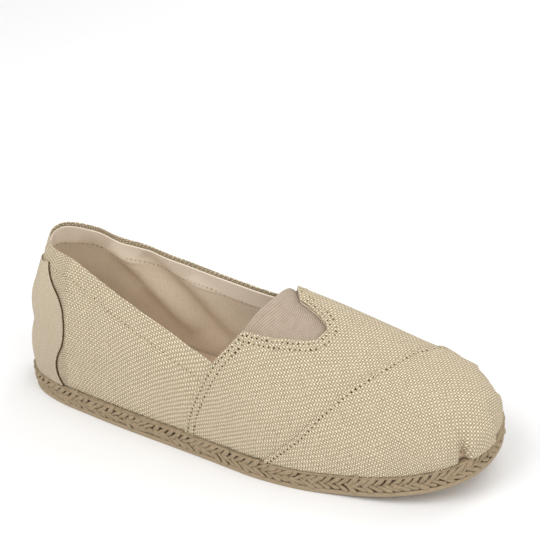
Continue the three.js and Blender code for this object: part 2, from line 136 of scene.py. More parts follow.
class Curve:
    """Smooth curve through one column of a table."""

    def __init__(self, table: dict, column: str, key: str = "at") -> None:
        """Reads the column.

        Args:
            table: columns of equal length.
            column: the column of values.
            key: the column of places.
        """
        self.at = np.array(table[key], float)
        self.value = np.array(table[column], float)
        step = np.diff(self.at)
        rise = np.diff(self.value) / step
        inner = (rise[:-1] * step[1:] + rise[1:] * step[:-1]) / (step[1:] + step[:-1])
        self.slope = np.concatenate([rise[:1], inner, rise[-1:]])

    def __call__(self, x: np.ndarray | float) -> np.ndarray:
        """Value at x, held at the table's ends.

        Args:
            x: one place, or an array of them.

        Returns:
            The value or values there.
        """
        t = np.clip(np.asarray(x, float), self.at[0], self.at[-1])
        i = np.clip(np.searchsorted(self.at, t, side="right") - 1, 0, len(self.at) - 2)
        step = self.at[i + 1] - self.at[i]
        u = (t - self.at[i]) / step
        bend = u * u * (3 - 2 * u)
        start = self.slope[i] * step * u * (1 - u) ** 2
        end = self.slope[i + 1] * step * u * u * (u - 1)
        return self.value[i] + (self.value[i + 1] - self.value[i]) * bend + start + end


def turn_of(share: np.ndarray | float) -> np.ndarray:
    """Share of the length as an angle that runs evenly round both ends of the outline."""
    return np.arccos(1 - 2 * np.clip(np.asarray(share, float), 0, 1))


def smooth(x: np.ndarray, low: float, high: float) -> np.ndarray:
    """Soft step from 0 at low to 1 at high."""
    t = np.clip((np.asarray(x, float) - low) / (high - low), 0, 1)
    return t * t * (3 - 2 * t)


def bump(x: np.ndarray, centre: float, width: float) -> np.ndarray:
    """Soft hill of height 1 round a centre."""
    return np.exp(-(((np.asarray(x, float) - centre) / width) ** 2))


@dataclass
class Last:
    """The form that the shoe is built over, in metres, set in the frame by the jute sole."""

    length: float = 265 * MM
    ball_width: float = 89 * MM
    heel_height: float = 92 * MM
    instep_height: float = 83 * MM
    toe_spring: float = 14 * MM
    sole_height: float = 11.1 * MM
    ledge: float = 2.4 * MM
    gap: float = 0.3 * MM
    spring_start: float = 0.66
    heel_pole: float = 0.143
    toe_pole: float = 0.849
    throat_corner: float = 0.5483
    throat_end: float = 0.6795
    lean_reach: float = 0.17
    origin: np.ndarray = field(default_factory=lambda: np.zeros(3))

    def __post_init__(self) -> None:
        """Builds the curves, and finds where the CAD model has its heel and middle line."""
        turned = {**OUTLINE, "turn": turn_of(OUTLINE["at"])}
        self.half = {side: Curve(turned, side.name.lower(), "turn") for side in Side}
        self.table = {name: Curve(LAST, name) for name in LAST if name != "at"}
        self.lean = Curve(HEEL_LEAN, "push")
        self.collar = {side: Curve(COLLAR, side.name.lower()) for side in Side}
        self.throat = {side: Curve(THROAT, side.name.lower()) for side in Side}
        self.vamp_seam = {side: Curve(VAMP_SEAM, side.name.lower()) for side in Side}
        self.toe_seam = {side: Curve(TOE_SEAM, side.name.lower()) for side in Side}
        self.counter_edge = Curve(COUNTER_EDGE, "place")
        low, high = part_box("jute_sole")
        turns = np.linspace(0, math.pi, 400)
        reach = [float(self.half[side](turns).max()) * self.ball_width for side in Side]
        self.origin = np.array([low[0], (low[1] + high[1]) / 2 + (reach[0] - reach[1]) / 2, 0.0])

    def spring(self, x: np.ndarray) -> np.ndarray:
        """Height of the ground line at a distance from the heel."""
        s = np.clip((x / self.length - self.spring_start) / (1 - self.spring_start), 0, 1)
        return self.toe_spring * s * s

    def outline(self, share: np.ndarray, side: np.ndarray, grow: np.ndarray | float) -> tuple:
        """Points of the sole's outline.

        Args:
            share: place along the sole.
            side: -1 on the outer side, 1 on the inner side.
            grow: how far the point moves outwards.

        Returns:
            Arrays of x and y, from the heel and the middle line.
        """
        share, side = np.broadcast_arrays(np.asarray(share, float), np.asarray(side, float))
        turn = turn_of(share)
        near = 1e-3

        def width(t: np.ndarray) -> np.ndarray:
            """Signed half width at an angle."""
            half = np.where(side < 0, self.half[Side.OUTER](t), self.half[Side.INNER](t))
            return side * self.ball_width * half

        def along(t: np.ndarray) -> np.ndarray:
            """Distance from the heel at an angle."""
            return self.length * (1 - np.cos(t)) / 2

        low, high = np.maximum(turn - near, 0), np.minimum(turn + near, math.pi)
        tx, ty = along(high) - along(low), width(high) - width(low)
        tx = np.where((turn < near) | (turn > math.pi - near), 0, tx)
        size = np.hypot(tx, ty)
        tx, ty = tx / size, ty / size
        return along(turn) - side * ty * grow, width(turn) + side * tx * grow

    def point(self, share: np.ndarray, side: np.ndarray, girth: np.ndarray,
              grow: np.ndarray | float) -> np.ndarray:
        """Points of the last, in the frame.

        Args:
            share: place along the sole.
            side: -1 on the outer side, 1 on the inner side.
            girth: 0 at the sole's edge, 1 at the ridge, more past the ridge.
            grow: how far the point moves outwards.

        Returns:
            An array with a last axis of 3.
        """
        share, side, girth, grow = np.broadcast_arrays(share, side, girth, grow)
        side = np.where(girth > 1, -side, side)
        girth = np.where(girth > 1, 2 - girth, girth)
        share = np.asarray(share, float)
        bx, by = self.outline(share, side, grow - self.ledge)
        spine = np.clip(share, self.heel_pole, self.toe_pole)
        turn = turn_of(spine)
        middle = (self.half[Side.INNER](turn) - self.half[Side.OUTER](turn)) / 2
        sx, sy = spine * self.length, self.ball_width * (middle + self.table["shift"](spine))
        angle = np.clip(girth, 0, 1) * QUARTER_TURN
        reach = np.maximum(np.cos(angle), 0) ** (2 / self.table["side"](share))
        lift = np.sin(angle) ** (2 / self.table["crest"](share))
        x = sx + (bx - sx) * reach
        at = x / self.length
        ridge = self.heel_height * self.table["heel"](at)
        ridge = ridge + self.instep_height * self.table["instep"](at) + grow
        rise = ridge * lift
        push = self.heel_height * self.lean(rise / self.heel_height)
        push = push * np.exp(-((at / self.lean_reach) ** 2))
        z = self.sole_height + self.gap + self.spring(x) + rise
        return np.stack([x + push, sy + (by - sy) * reach, z], axis=-1) + self.origin

    def join(self, forward: float, side: Side) -> float:
        """Girth at which the sides join, between the throat's end (0) and the toe panel (1)."""
        return 1 + side.value * THROAT_LEAN * (1 - forward)

    def throat_edge(self, place: np.ndarray, side: Side) -> np.ndarray:
        """Girth of the throat's edge at a place along the sole."""
        return self.throat[side]((place - self.throat_corner) / (self.throat_end - self.throat_corner))

    def throat_line(self, level: np.ndarray, side: Side) -> np.ndarray:
        """Station line that meets the throat's end, at a share of its own height."""
        foot = (float(self.vamp_seam[side](0)) + float(self.toe_seam[side](0))) / 2
        return self.throat_end - (self.throat_end - foot) * (1 - level) ** 2

    def opening(self, place_at: Callable, edge: Callable, highest: float = 1.0) -> float:
        """First girth at which a station line meets an edge.

        Args:
            place_at: place along the sole at a girth.
            edge: girth of the edge at a place.
            highest: the girth given when they do not meet.

        Returns:
            The girth.
        """
        girth = np.linspace(0, highest, OPENING_SAMPLES)
        over = girth >= edge(place_at(girth))
        return float(girth[np.argmax(over)]) if over.any() else highest


@dataclass(frozen=True)
class Crease:
    """One soft trough or ridge of the cloth, between two places on the last."""

    side: Side
    start: tuple[float, float]
    end: tuple[float, float]
    width: float
    depth: float

    def relief(self, last: Last, points: np.ndarray) -> np.ndarray:
        """How far the crease moves each point outwards.

        Args:
            last: the form.
            points: points near the surface.

        Returns:
            The signed distance for each point.
        """
        ends = [last.point(np.array(s), np.array(float(self.side.value)), np.array(g), 0.0)
                for s, g in (self.start, self.end)]
        line = ends[1] - ends[0]
        along = ((points - ends[0]) @ line) / (line @ line)
        foot = ends[0] + np.clip(along, 0, 1)[..., None] * line
        apart = np.linalg.norm(points - foot, axis=-1)
        taper = np.clip(1 - (2 * np.clip(along, 0, 1) - 1) ** 4, 0, 1)
        return self.depth * np.exp(-((apart / self.width) ** 2)) * taper


def path_distance(points: np.ndarray, path: np.ndarray) -> np.ndarray:
    """Distance of each point from a line of short straight runs.

    Args:
        points: an array with a last axis of 3.
        path: the line's corners.

    Returns:
        The distance of each point.
    """
    flat = points.reshape(-1, 3)
    best = np.full(len(flat), np.inf)
    for a, b in zip(path[:-1], path[1:]):
        line = b - a
        size = max(float(line @ line), 1e-12)
        t = np.clip((flat - a) @ line / size, 0, 1)
        best = np.minimum(best, np.linalg.norm(flat - a - t[:, None] * line, axis=1))
    return best.reshape(points.shape[:-1])


def even_path(path: np.ndarray, step: float) -> np.ndarray:
    """Points at even steps along a line.

    Args:
        path: the line's corners.
        step: the distance between points.

    Returns:
        The new points.
    """
    run = np.concatenate([[0], np.cumsum(np.linalg.norm(np.diff(path, axis=0), axis=1))])
    at = np.linspace(0, run[-1], max(int(run[-1] / step), 2))
    return np.stack([np.interp(at, run, path[:, k]) for k in range(3)], axis=-1)


def link(obj: bpy.types.Object) -> bpy.types.Object:
    """Puts an object in the scene and returns it."""
    bpy.context.scene.collection.objects.link(obj)
    return obj


def make_mesh(name: str, points: np.ndarray, faces: np.ndarray | list,
              chart: np.ndarray | None = None) -> bpy.types.Object:
    """Makes a smooth mesh object whose doubles are merged.

    Args:
        name: the piece's name.
        points: vertices in the frame.
        faces: lists of vertex numbers.
        chart: cloth coordinates of each vertex, in metres.

    Returns:
        The object.
    """
    mesh = bpy.data.meshes.new(name)
    mesh.from_pydata(points.tolist(), [], [list(map(int, f)) for f in faces])
    if chart is not None:
        layer = mesh.uv_layers.new(name="cloth")
        corner = np.empty(len(mesh.loops), np.int32)
        mesh.loops.foreach_get("vertex_index", corner)
        layer.data.foreach_set("uv", chart[corner].ravel().astype(np.float32))
    obj = link(bpy.data.objects.new(name, mesh))
    weld(obj)
    for polygon in mesh.polygons:
        polygon.use_smooth = True
    return obj


def weld(obj: bpy.types.Object) -> None:
    """Merges doubles and drops faces with no area.

    Args:
        obj: a mesh object.
    """
    work = bmesh.new()
    work.from_mesh(obj.data)
    bmesh.ops.remove_doubles(work, verts=work.verts, dist=WELD_REACH)
    bmesh.ops.dissolve_degenerate(work, edges=work.edges, dist=WELD_REACH)
    work.to_mesh(obj.data)
    work.free()


def sheet_faces(rows: int, columns: int) -> np.ndarray:
    """Faces of a closed sheet made of an outside grid and an inside grid.

    Args:
        rows: rows of points in each grid.
        columns: points in each row.

    Returns:
        Four vertex numbers for each face.
    """
    faces = []

    def at(layer: int, i: int, j: int) -> int:
        """Number of a vertex."""
        return layer * rows * columns + i * columns + j

    end, top = rows - 1, columns - 1
    for i in range(end):
        for j in range(top):
            faces.append((at(0, i, j), at(0, i + 1, j), at(0, i + 1, j + 1), at(0, i, j + 1)))
            faces.append((at(1, i, j), at(1, i, j + 1), at(1, i + 1, j + 1), at(1, i + 1, j)))
        faces.append((at(0, i, 0), at(1, i, 0), at(1, i + 1, 0), at(0, i + 1, 0)))
        faces.append((at(0, i, top), at(0, i + 1, top), at(1, i + 1, top), at(1, i, top)))
    for j in range(top):
        faces.append((at(0, 0, j), at(0, 0, j + 1), at(1, 0, j + 1), at(1, 0, j)))
        faces.append((at(0, end, j), at(1, end, j), at(1, end, j + 1), at(0, end, j + 1)))
    return np.array(faces)


@dataclass
class Cloth:
    """A cut piece of cloth laid on the last, as grids of place, side and girth.

    Outside and inside are heights over the last. The edge is the places of the free edge, which is
    rounded over the width of the fold. Hem is the extra height along it, and rows_at the distances
    of the sewn rows from it, where the thread pulls the cloth in. Extra gives any other relief.
    """

    name: str
    share: np.ndarray
    side: np.ndarray
    girth: np.ndarray
    outside: float
    inside: float
    edge: tuple | None = None
    fold: float = 0.7 * MM
    hem: float = 0.0
    hem_width: float = 6.5 * MM
    hem_fade: float = 0.8
    rows_at: tuple[float, ...] = ()
    row_pull: float = 0.22 * MM
    row_width: float = 0.7 * MM
    creases: tuple[Crease, ...] = ()
    extra: Callable | None = None

    def build(self, last: Last) -> bpy.types.Object:
        """Makes the sheet with rounded free edges, hems, pulled stitch rows and creases.

        Args:
            last: the form that it lies on.

        Returns:
            The mesh object.
        """
        base = last.point(self.share, self.side, self.girth, self.outside)
        relief = np.zeros(self.share.shape)
        for crease in self.creases:
            relief = relief + crease.relief(last, base)
        if self.extra is not None:
            relief = relief + self.extra(last, base, self)
        round_off = np.ones(self.share.shape)
        if self.edge is not None:
            apart = path_distance(base, last.point(*self.edge, self.outside))
            near = np.clip(apart / self.fold, 0, 1)
            round_off = np.sqrt(np.clip(1 - (1 - near) ** 2, 0, 1))
            fade = smooth(apart, self.hem_width * self.hem_fade, self.hem_width)
            relief = relief + self.hem * (1 - fade)
            for row in self.rows_at:
                relief = relief - self.row_pull * bump(apart, row, self.row_width)
        centre = (self.outside + self.inside) / 2
        half = (self.outside - self.inside) / 2
        out = last.point(self.share, self.side, self.girth, centre + half * round_off + relief)
        under = last.point(self.share, self.side, self.girth, centre - half * round_off + relief)
        rows, columns = self.share.shape
        points = np.concatenate([out.reshape(-1, 3), under.reshape(-1, 3)])
        chart = self.chart(last)
        return make_mesh(self.name, points, sheet_faces(rows, columns), np.vstack([chart, chart]))

    def chart(self, last: Last) -> np.ndarray:
        """Cloth coordinates: each station line is laid flat from the ridge or the toe's pole.

        Args:
            last: the form.

        Returns:
            Two coordinates for each vertex, in metres.
        """
        levels = np.linspace(0, 1, CHART_SAMPLES)
        shape = self.share.shape
        past = self.girth.ravel() > 1
        flat_share = self.share.ravel()
        flat_side = np.where(past, -self.side.ravel(), self.side.ravel())
        line = last.point(flat_share[:, None], flat_side[:, None], levels[None], 0.0)
        run = np.concatenate([np.zeros((len(line), 1)),
                              np.cumsum(np.linalg.norm(np.diff(line, axis=1), axis=2), axis=1)], 1)
        girth = np.where(past, 2 - self.girth.ravel(), self.girth.ravel())
        place = np.clip(girth, 0, 1) * (len(levels) - 1)
        low = np.minimum(place.astype(int), len(levels) - 2)
        part = place - low
        rows = np.arange(len(line))
        reach = run[:, -1] - (run[rows, low] * (1 - part) + run[rows, low + 1] * part)
        pole, foot = line[:, -1, :2], line[:, 0, :2]
        way = foot - pole
        way = way / np.maximum(np.linalg.norm(way, axis=1), TINY)[:, None]
        return (pole + way * reach[:, None]).reshape(shape + (2,)).reshape(-1, 2)


def spaced(count: int, edge_low: bool = False, edge_high: bool = False, fine: float = .004) -> np.ndarray:
    """Even steps from 0 to 1, with extra places near the ends that are free edges.

    Args:
        count: number of even steps.
        edge_low: extra places near 0.
        edge_high: extra places near 1.
        fine: the fine step, of which the extra places are multiples.

    Returns:
        The places, in order.
    """
    places = np.linspace(0, 1, count + 1)
    extra = np.array(EDGE_STEPS) * fine
    if edge_low:
        places = np.concatenate([places, extra])
    if edge_high:
        places = np.concatenate([places, 1 - extra])
    return np.unique(np.round(places, 6))


@dataclass
class Upper:
    """Canvas upper: quarters, vamp, toe panel and the lining inside them.

    Faces are the heights of a cloth's outside and inside over the last. Sewn heights lie just clear
    of the face that is sewn. Hems are widths and rows are distances of stitches, both from a free
    edge. Laps are how far a panel runs on under the next one. The rim is the girth that the lining
    leaves free under the collar's edge.
    """

    last: Last
    quarter_faces: tuple[float, float] = (0.0, -0.75 * MM)
    vamp_faces: tuple[float, float] = (0.8 * MM, 0.05 * MM)
    toe_faces: tuple[float, float] = (1.65 * MM, 0.9 * MM)
    lining_faces: tuple[float, float] = (-0.85 * MM, -1.45 * MM)
    quarter_sewn: float = 0.3 * MM
    vamp_sewn: float = 1.1 * MM
    toe_sewn: float = 1.9 * MM
    lining_sewn: float = -1.7 * MM
    collar_hem: float = 14 * MM
    collar_row: float = 13.2 * MM
    facing_hem: float = 15 * MM
    facing_row: float = 14.2 * MM
    facing_soft: float = 13.4 * MM
    vamp_hem: float = 7 * MM
    vamp_rows: tuple[float, ...] = (2.1 * MM, 5.6 * MM)
    toe_hem: float = 4.5 * MM
    toe_row: float = 2.3 * MM
    quarter_lap: float = 7 * MM
    vamp_lap: float = 5 * MM
    rim: float = 0.022
    heel_crowding: float = 1.4
    collar_samples: int = 90
    throat_samples: int = 60
    edge_samples: int = 70
    quarter_stations: int = 96
    vamp_rear_stations: int = 44
    vamp_front_stations: int = 26
    toe_stations: int = 92
    lining_stations: int = 80
    levels: int = 56
    toe_levels: int = 84

    def __post_init__(self) -> None:
        """Lays out the edges that the panels share."""
        self.panels: dict[str, bpy.types.Object] = {}
        self.collar_edge = self.collar_points()
        self.vamp_edge = self.vamp_points()
        self.toe_edge = self.toe_points()

    def collar_points(self) -> tuple:
        """Places of the collar's edge, from the outer side round the heel to the inner side.

        Returns:
            Places, sides and girths.
        """
        share, side, girth = [], [], []
        for which in Side:
            edge = self.last.collar[which]
            end = COLLAR["at"][-1]
            at = np.linspace(0, end, self.collar_samples) ** self.heel_crowding
            at = at / end ** (self.heel_crowding - 1)
            order = at[::-1] if which is Side.OUTER else at[1:]
            share.append(order)
            side.append(np.full(len(order), float(which.value)))
            girth.append(edge(order))
        return tuple(np.concatenate(part) for part in (share, side, girth))

    def vamp_points(self) -> tuple:
        """Places of the vamp's free edge, from one sole edge round the throat to the other.

        Returns:
            Places, sides and girths.
        """
        last = self.last
        share, side, girth = [], [], []
        for which in Side:
            up = np.linspace(0, float(last.throat[which](0)), self.edge_samples)
            along = np.sin(np.linspace(0, QUARTER_TURN, self.throat_samples))[1:] ** 1.5
            edge = last.throat_corner + (last.throat_end - last.throat_corner) * along
            place = np.concatenate([last.vamp_seam[which](up), edge])
            level = np.concatenate([up, last.throat_edge(edge, which)])
            if which is Side.INNER:
                place, level = place[::-1][1:], level[::-1][1:]
            share.append(place)
            girth.append(level)
            side.append(np.full(len(place), float(which.value)))
        return tuple(np.concatenate(part) for part in (share, side, girth))

    def toe_points(self) -> tuple:
        """Places of the toe panel's edge, from the outer side over the ridge to the inner side.

        Returns:
            Places, sides and girths.
        """
        share, side, girth = [], [], []
        for which in Side:
            level = np.linspace(0, 1, self.edge_samples)
            place = self.last.toe_seam[which](level)
            if which is Side.INNER:
                place, level = place[::-1][1:], level[::-1][1:]
            share.append(place)
            girth.append(level)
            side.append(np.full(len(place), float(which.value)))
        return tuple(np.concatenate(part) for part in (share, side, girth))

    def stations(self, which: Side, lines: list, columns: np.ndarray) -> tuple:
        """Grids of place, side and girth along station lines.

        Args:
            which: the side.
            lines: pairs of a place function and a top girth.
            columns: shares of the top girth.

        Returns:
            Three grids.
        """
        girth = np.array([top * columns for _, top in lines])
        share = np.array([place(row) for (place, _), row in zip(lines, girth)])
        return share, np.full(share.shape, float(which.value)), girth

    def quarter_lines(self, which: Side, steps: np.ndarray, reach: float) -> list:
        """Station lines from the heel to a little past the vamp's rear edge.

        Args:
            which: the side.
            steps: shares from the heel to the edge.
            reach: how far the quarters run on under the vamp.

        Returns:
            Pairs of a place function and a top girth.
        """
        last, lines = self.last, []
        for step in steps:
            share = step * step * .55 + step * .45

            def place(girth: np.ndarray, share: float = share) -> np.ndarray:
                """Place along the sole at a girth."""
                return share * (last.vamp_seam[which](girth) + reach)

            lines.append((place, last.opening(place, last.collar[which])))
        return lines

    def vamp_lines(self, which: Side) -> list:
        """Station lines of the vamp, from its rear edge to under the toe panel.

        Args:
            which: the side.

        Returns:
            Pairs of a place function and a top girth.
        """
        last, lines = self.last, []
        lap = self.vamp_lap / last.length
        top = last.join(0, which)

        def edge(place: np.ndarray) -> np.ndarray:
            """Girth of the throat's edge."""
            return last.throat_edge(place, which)

        steps = spaced(self.vamp_rear_stations, edge_low=True, fine=.05)[:-1]
        for step in (1 - np.cos(steps * math.pi)) / 2:
            def rear(girth: np.ndarray, step: float = step) -> np.ndarray:
                """Place of a line that meets the throat's edge."""
                start = last.vamp_seam[which](girth)
                return start + (last.throat_line(girth / top, which) - start) * step

            lines.append((rear, last.opening(rear, edge, top)))
        for step in np.linspace(0, 1, self.vamp_front_stations):
            height = last.join(step, which)

            def front(girth: np.ndarray, step: float = step, height: float = height) -> np.ndarray:
                """Place of a line that meets the other side."""
                level = girth / height
                start = last.throat_line(level, which)
                end = last.toe_seam[which](level) + lap * np.cos(level * QUARTER_TURN * .9)
                return start + (end - start) * step

            lines.append((front, height))
        return lines

    def toe_lines(self, which: Side) -> list:
        """Station lines of the toe panel, from its edge to the tip.

        Args:
            which: the side.

        Returns:
            Pairs of a place function and a top girth.
        """
        last, lines = self.last, []
        steps = spaced(self.toe_stations, edge_low=True, fine=.006)
        for step in np.sin(steps * QUARTER_TURN):
            def place(girth: np.ndarray, step: float = step) -> np.ndarray:
                """Place of a line that meets the ridge."""
                start = last.toe_seam[which](girth)
                return start + (1 - start) * step

            lines.append((place, 1.0))
        return lines

    def both_sides(self, lines_of: Callable, columns: np.ndarray, heel: bool) -> tuple:
        """Grids over both sides, joined at the heel or at the toe.

        Args:
            lines_of: station lines of a side.
            columns: shares of the top girth.
            heel: whether the sides join at the heel.

        Returns:
            Grids of place, side and girth.
        """
        outer = self.stations(Side.OUTER, lines_of(Side.OUTER), columns)
        inner = self.stations(Side.INNER, lines_of(Side.INNER), columns)
        if heel:
            parts = [(b[:0:-1], a) for a, b in zip(outer, inner)]
        else:
            parts = [(a, b[-2::-1]) for a, b in zip(outer, inner)]
        return tuple(np.concatenate(pair) for pair in parts)

    def build(self) -> None:
        """Makes the quarters, the vamp, the toe panel and the lining."""
        last = self.last
        columns = spaced(self.levels, edge_high=True, fine=.006)
        steps = np.linspace(0, 1, self.quarter_stations)
        lap = self.quarter_lap / last.length
        quarters = self.both_sides(lambda side: self.quarter_lines(side, steps, lap), columns, True)
        vamp = self.both_sides(self.vamp_lines, columns, False)
        toe = self.both_sides(self.toe_lines, np.linspace(0, 1, self.toe_levels), False)
        self.panels["quarters"] = Cloth(
            "quarters", *quarters, *self.quarter_faces, edge=self.collar_edge, fold=.6 * MM,
            hem=.12 * MM, hem_width=self.collar_hem, rows_at=(self.collar_row,),
            creases=QUARTER_CREASES,
        ).build(last)
        self.panels["vamp"] = Cloth(
            "vamp", *vamp, *self.vamp_faces, edge=self.vamp_edge, fold=.8 * MM, hem=.22 * MM,
            hem_width=self.vamp_hem, rows_at=self.vamp_rows, creases=VAMP_CREASES,
        ).build(last)
        self.panels["toe"] = Cloth(
            "toe_panel", *toe, *self.toe_faces, edge=self.toe_edge, fold=.8 * MM, hem=.15 * MM,
            hem_width=self.toe_hem, rows_at=(self.toe_row,), creases=TOE_CREASES,
            extra=ToePleat().relief,
        ).build(last)
        self.panels["lining"] = self.build_lining(columns)

    def build_lining(self, columns: np.ndarray) -> bpy.types.Object:
        """Makes the cotton lining over the whole inside, with its turned facing at the collar.

        Args:
            columns: shares of the top girth.

        Returns:
            The mesh object, with the attribute band, which is 1 on the facing, where the lining gets a
            lighter colour that is partly the facing's own tone and partly a painted highlight of light from
            above.
        """
        last = self.last

        def lines(side: Side) -> list:
            """Station lines from the heel to the toe."""
            rear = self.quarter_lines(side, np.linspace(0, 1, self.lining_stations), 0.0)
            rear = [(place, top - self.rim) for place, top in rear]
            return rear + self.vamp_lines(side)[1:] + self.toe_lines(side)[8::2]

        ring = [np.concatenate([grid, grid[:1]]) for grid in self.both_sides(lines, columns, False)]
        lining = Cloth(
            "lining", *ring, *self.lining_faces, edge=self.collar_edge, fold=.5 * MM,
            hem=-.15 * MM, hem_width=self.facing_hem, rows_at=(self.facing_row,),
            row_pull=-.25 * MM, creases=QUARTER_CREASES + VAMP_CREASES + TOE_CREASES,
            extra=ToePleat().lining_relief,
        ).build(last)
        points = np.array([v.co for v in lining.data.vertices])
        apart = path_distance(points[None], last.point(*self.collar_edge, 0.0))[0]
        # Mask of the facing: there the lining gets the facing's lighter tone and a painted highlight of light
        # from above.
        band = 1 - smooth(apart, self.facing_soft, self.facing_hem)
        layer = lining.data.attributes.new("band", "FLOAT", "POINT")
        layer.data.foreach_set("value", band.astype(np.float32))
        return lining

    def dress(self, finishes: "Finishes") -> None:
        """Builds the panels and gives them their canvas and cotton.

        Args:
            finishes: the materials.
        """
        self.build()
        quarters = self.panels["quarters"]
        dress(quarters, finishes.quarter)
        dress(self.panels["vamp"], finishes.canvas)
        dress(self.panels["toe"], finishes.canvas)
        dress(self.panels["lining"], finishes.lining)
        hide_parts("upper")


@dataclass(frozen=True)
class ToePleat:
    """Folded pleat at the tip of the toe: a raised tab between two folds, by distance from the middle.

    A fold is its depth, its extra depth near the sole and its width.
    """

    left: float = -17 * MM
    right: float = -1 * MM
    edge: float = 0.5 * MM
    tab_lift: float = 2.2 * MM
    left_fold: tuple[float, float, float] = (2.6 * MM, 3.0 * MM, 1.6 * MM)
    right_fold: tuple[float, float, float] = (1.6 * MM, 1.6 * MM, 1.2 * MM)
    left_set: float = 1.3 * MM
    right_set: float = 1.2 * MM
    starts: tuple[float, float] = (.93, .97)
    fades: tuple[float, float] = (7 * MM, 20 * MM)
    low_band: tuple[float, float] = (1.5 * MM, 9 * MM)
    lining_share: float = 1.6

    def relief(self, last: Last, points: np.ndarray, cloth: Cloth) -> np.ndarray:
        """How far the pleat moves each point outwards.

        Args:
            last: the form.
            points: points of the cloth.
            cloth: the piece, for its places and sides.

        Returns:
            The signed distance for each point.
        """
        across = last.outline(cloth.share, cloth.side, -last.ledge)[1]
        up = points[..., 2] - last.sole_height - last.spring(points[..., 0] - last.origin[0])
        tab = smooth(across, self.left - self.edge, self.left + self.edge)
        tab = tab * (1 - smooth(across, self.right - self.edge, self.right + self.edge))
        low = 1 - smooth(up, *self.low_band)
        folds = np.zeros(across.shape)
        for (depth, extra, width), middle in ((self.left_fold, self.left - self.left_set),
                                              (self.right_fold, self.right + self.right_set)):
            folds = folds + (depth + extra * low) * bump(across, middle, width)
        reach = smooth(cloth.share, *self.starts) * (1 - smooth(up, *self.fades))
        return reach * (self.tab_lift * tab - folds)

    def lining_relief(self, last: Last, points: np.ndarray, cloth: Cloth) -> np.ndarray:
        """Relief of the lining, which goes down with the folds and no further out."""
        return self.lining_share * np.minimum(self.relief(last, points, cloth), 0.0)


# Creases: side, start and end as (share of length, share of girth), width, depth.
QUARTER_CREASES = (
    Crease(Side.OUTER, (.02, .30), (.30, .46), 7 * MM, -.8 * MM),
    Crease(Side.OUTER, (.16, .10), (.42, .22), 9 * MM, -.5 * MM),
    Crease(Side.OUTER, (.22, .38), (.44, .26), 8 * MM, .6 * MM),
    Crease(Side.INNER, (.03, .42), (.20, .28), 8 * MM, 1.6 * MM),
    Crease(Side.INNER, (.12, .47), (.33, .12), 7 * MM, -3.0 * MM),
    Crease(Side.INNER, (.21, .46), (.39, .10), 7 * MM, 3.2 * MM),
    Crease(Side.INNER, (.33, .42), (.45, .12), 7 * MM, -2.2 * MM),
)
VAMP_CREASES = (
    Crease(Side.OUTER, (.50, .30), (.62, .62), 8 * MM, -.5 * MM),
    Crease(Side.OUTER, (.55, .12), (.70, .40), 9 * MM, .45 * MM),
    Crease(Side.INNER, (.56, .30), (.70, .60), 9 * MM, -.6 * MM),
)
TOE_CREASES = (
    Crease(Side.OUTER, (.70, .30), (.90, .62), 10 * MM, -.7 * MM),
    Crease(Side.OUTER, (.78, .10), (.93, .36), 8 * MM, .5 * MM),
    Crease(Side.OUTER, (.955, .12), (.92, .50), 3.5 * MM, -1.0 * MM),
    Crease(Side.INNER, (.972, .12), (.955, .52), 9 * MM, -2.3 * MM),
    Crease(Side.INNER, (.90, .20), (.915, .66), 6 * MM, -1.1 * MM),
)


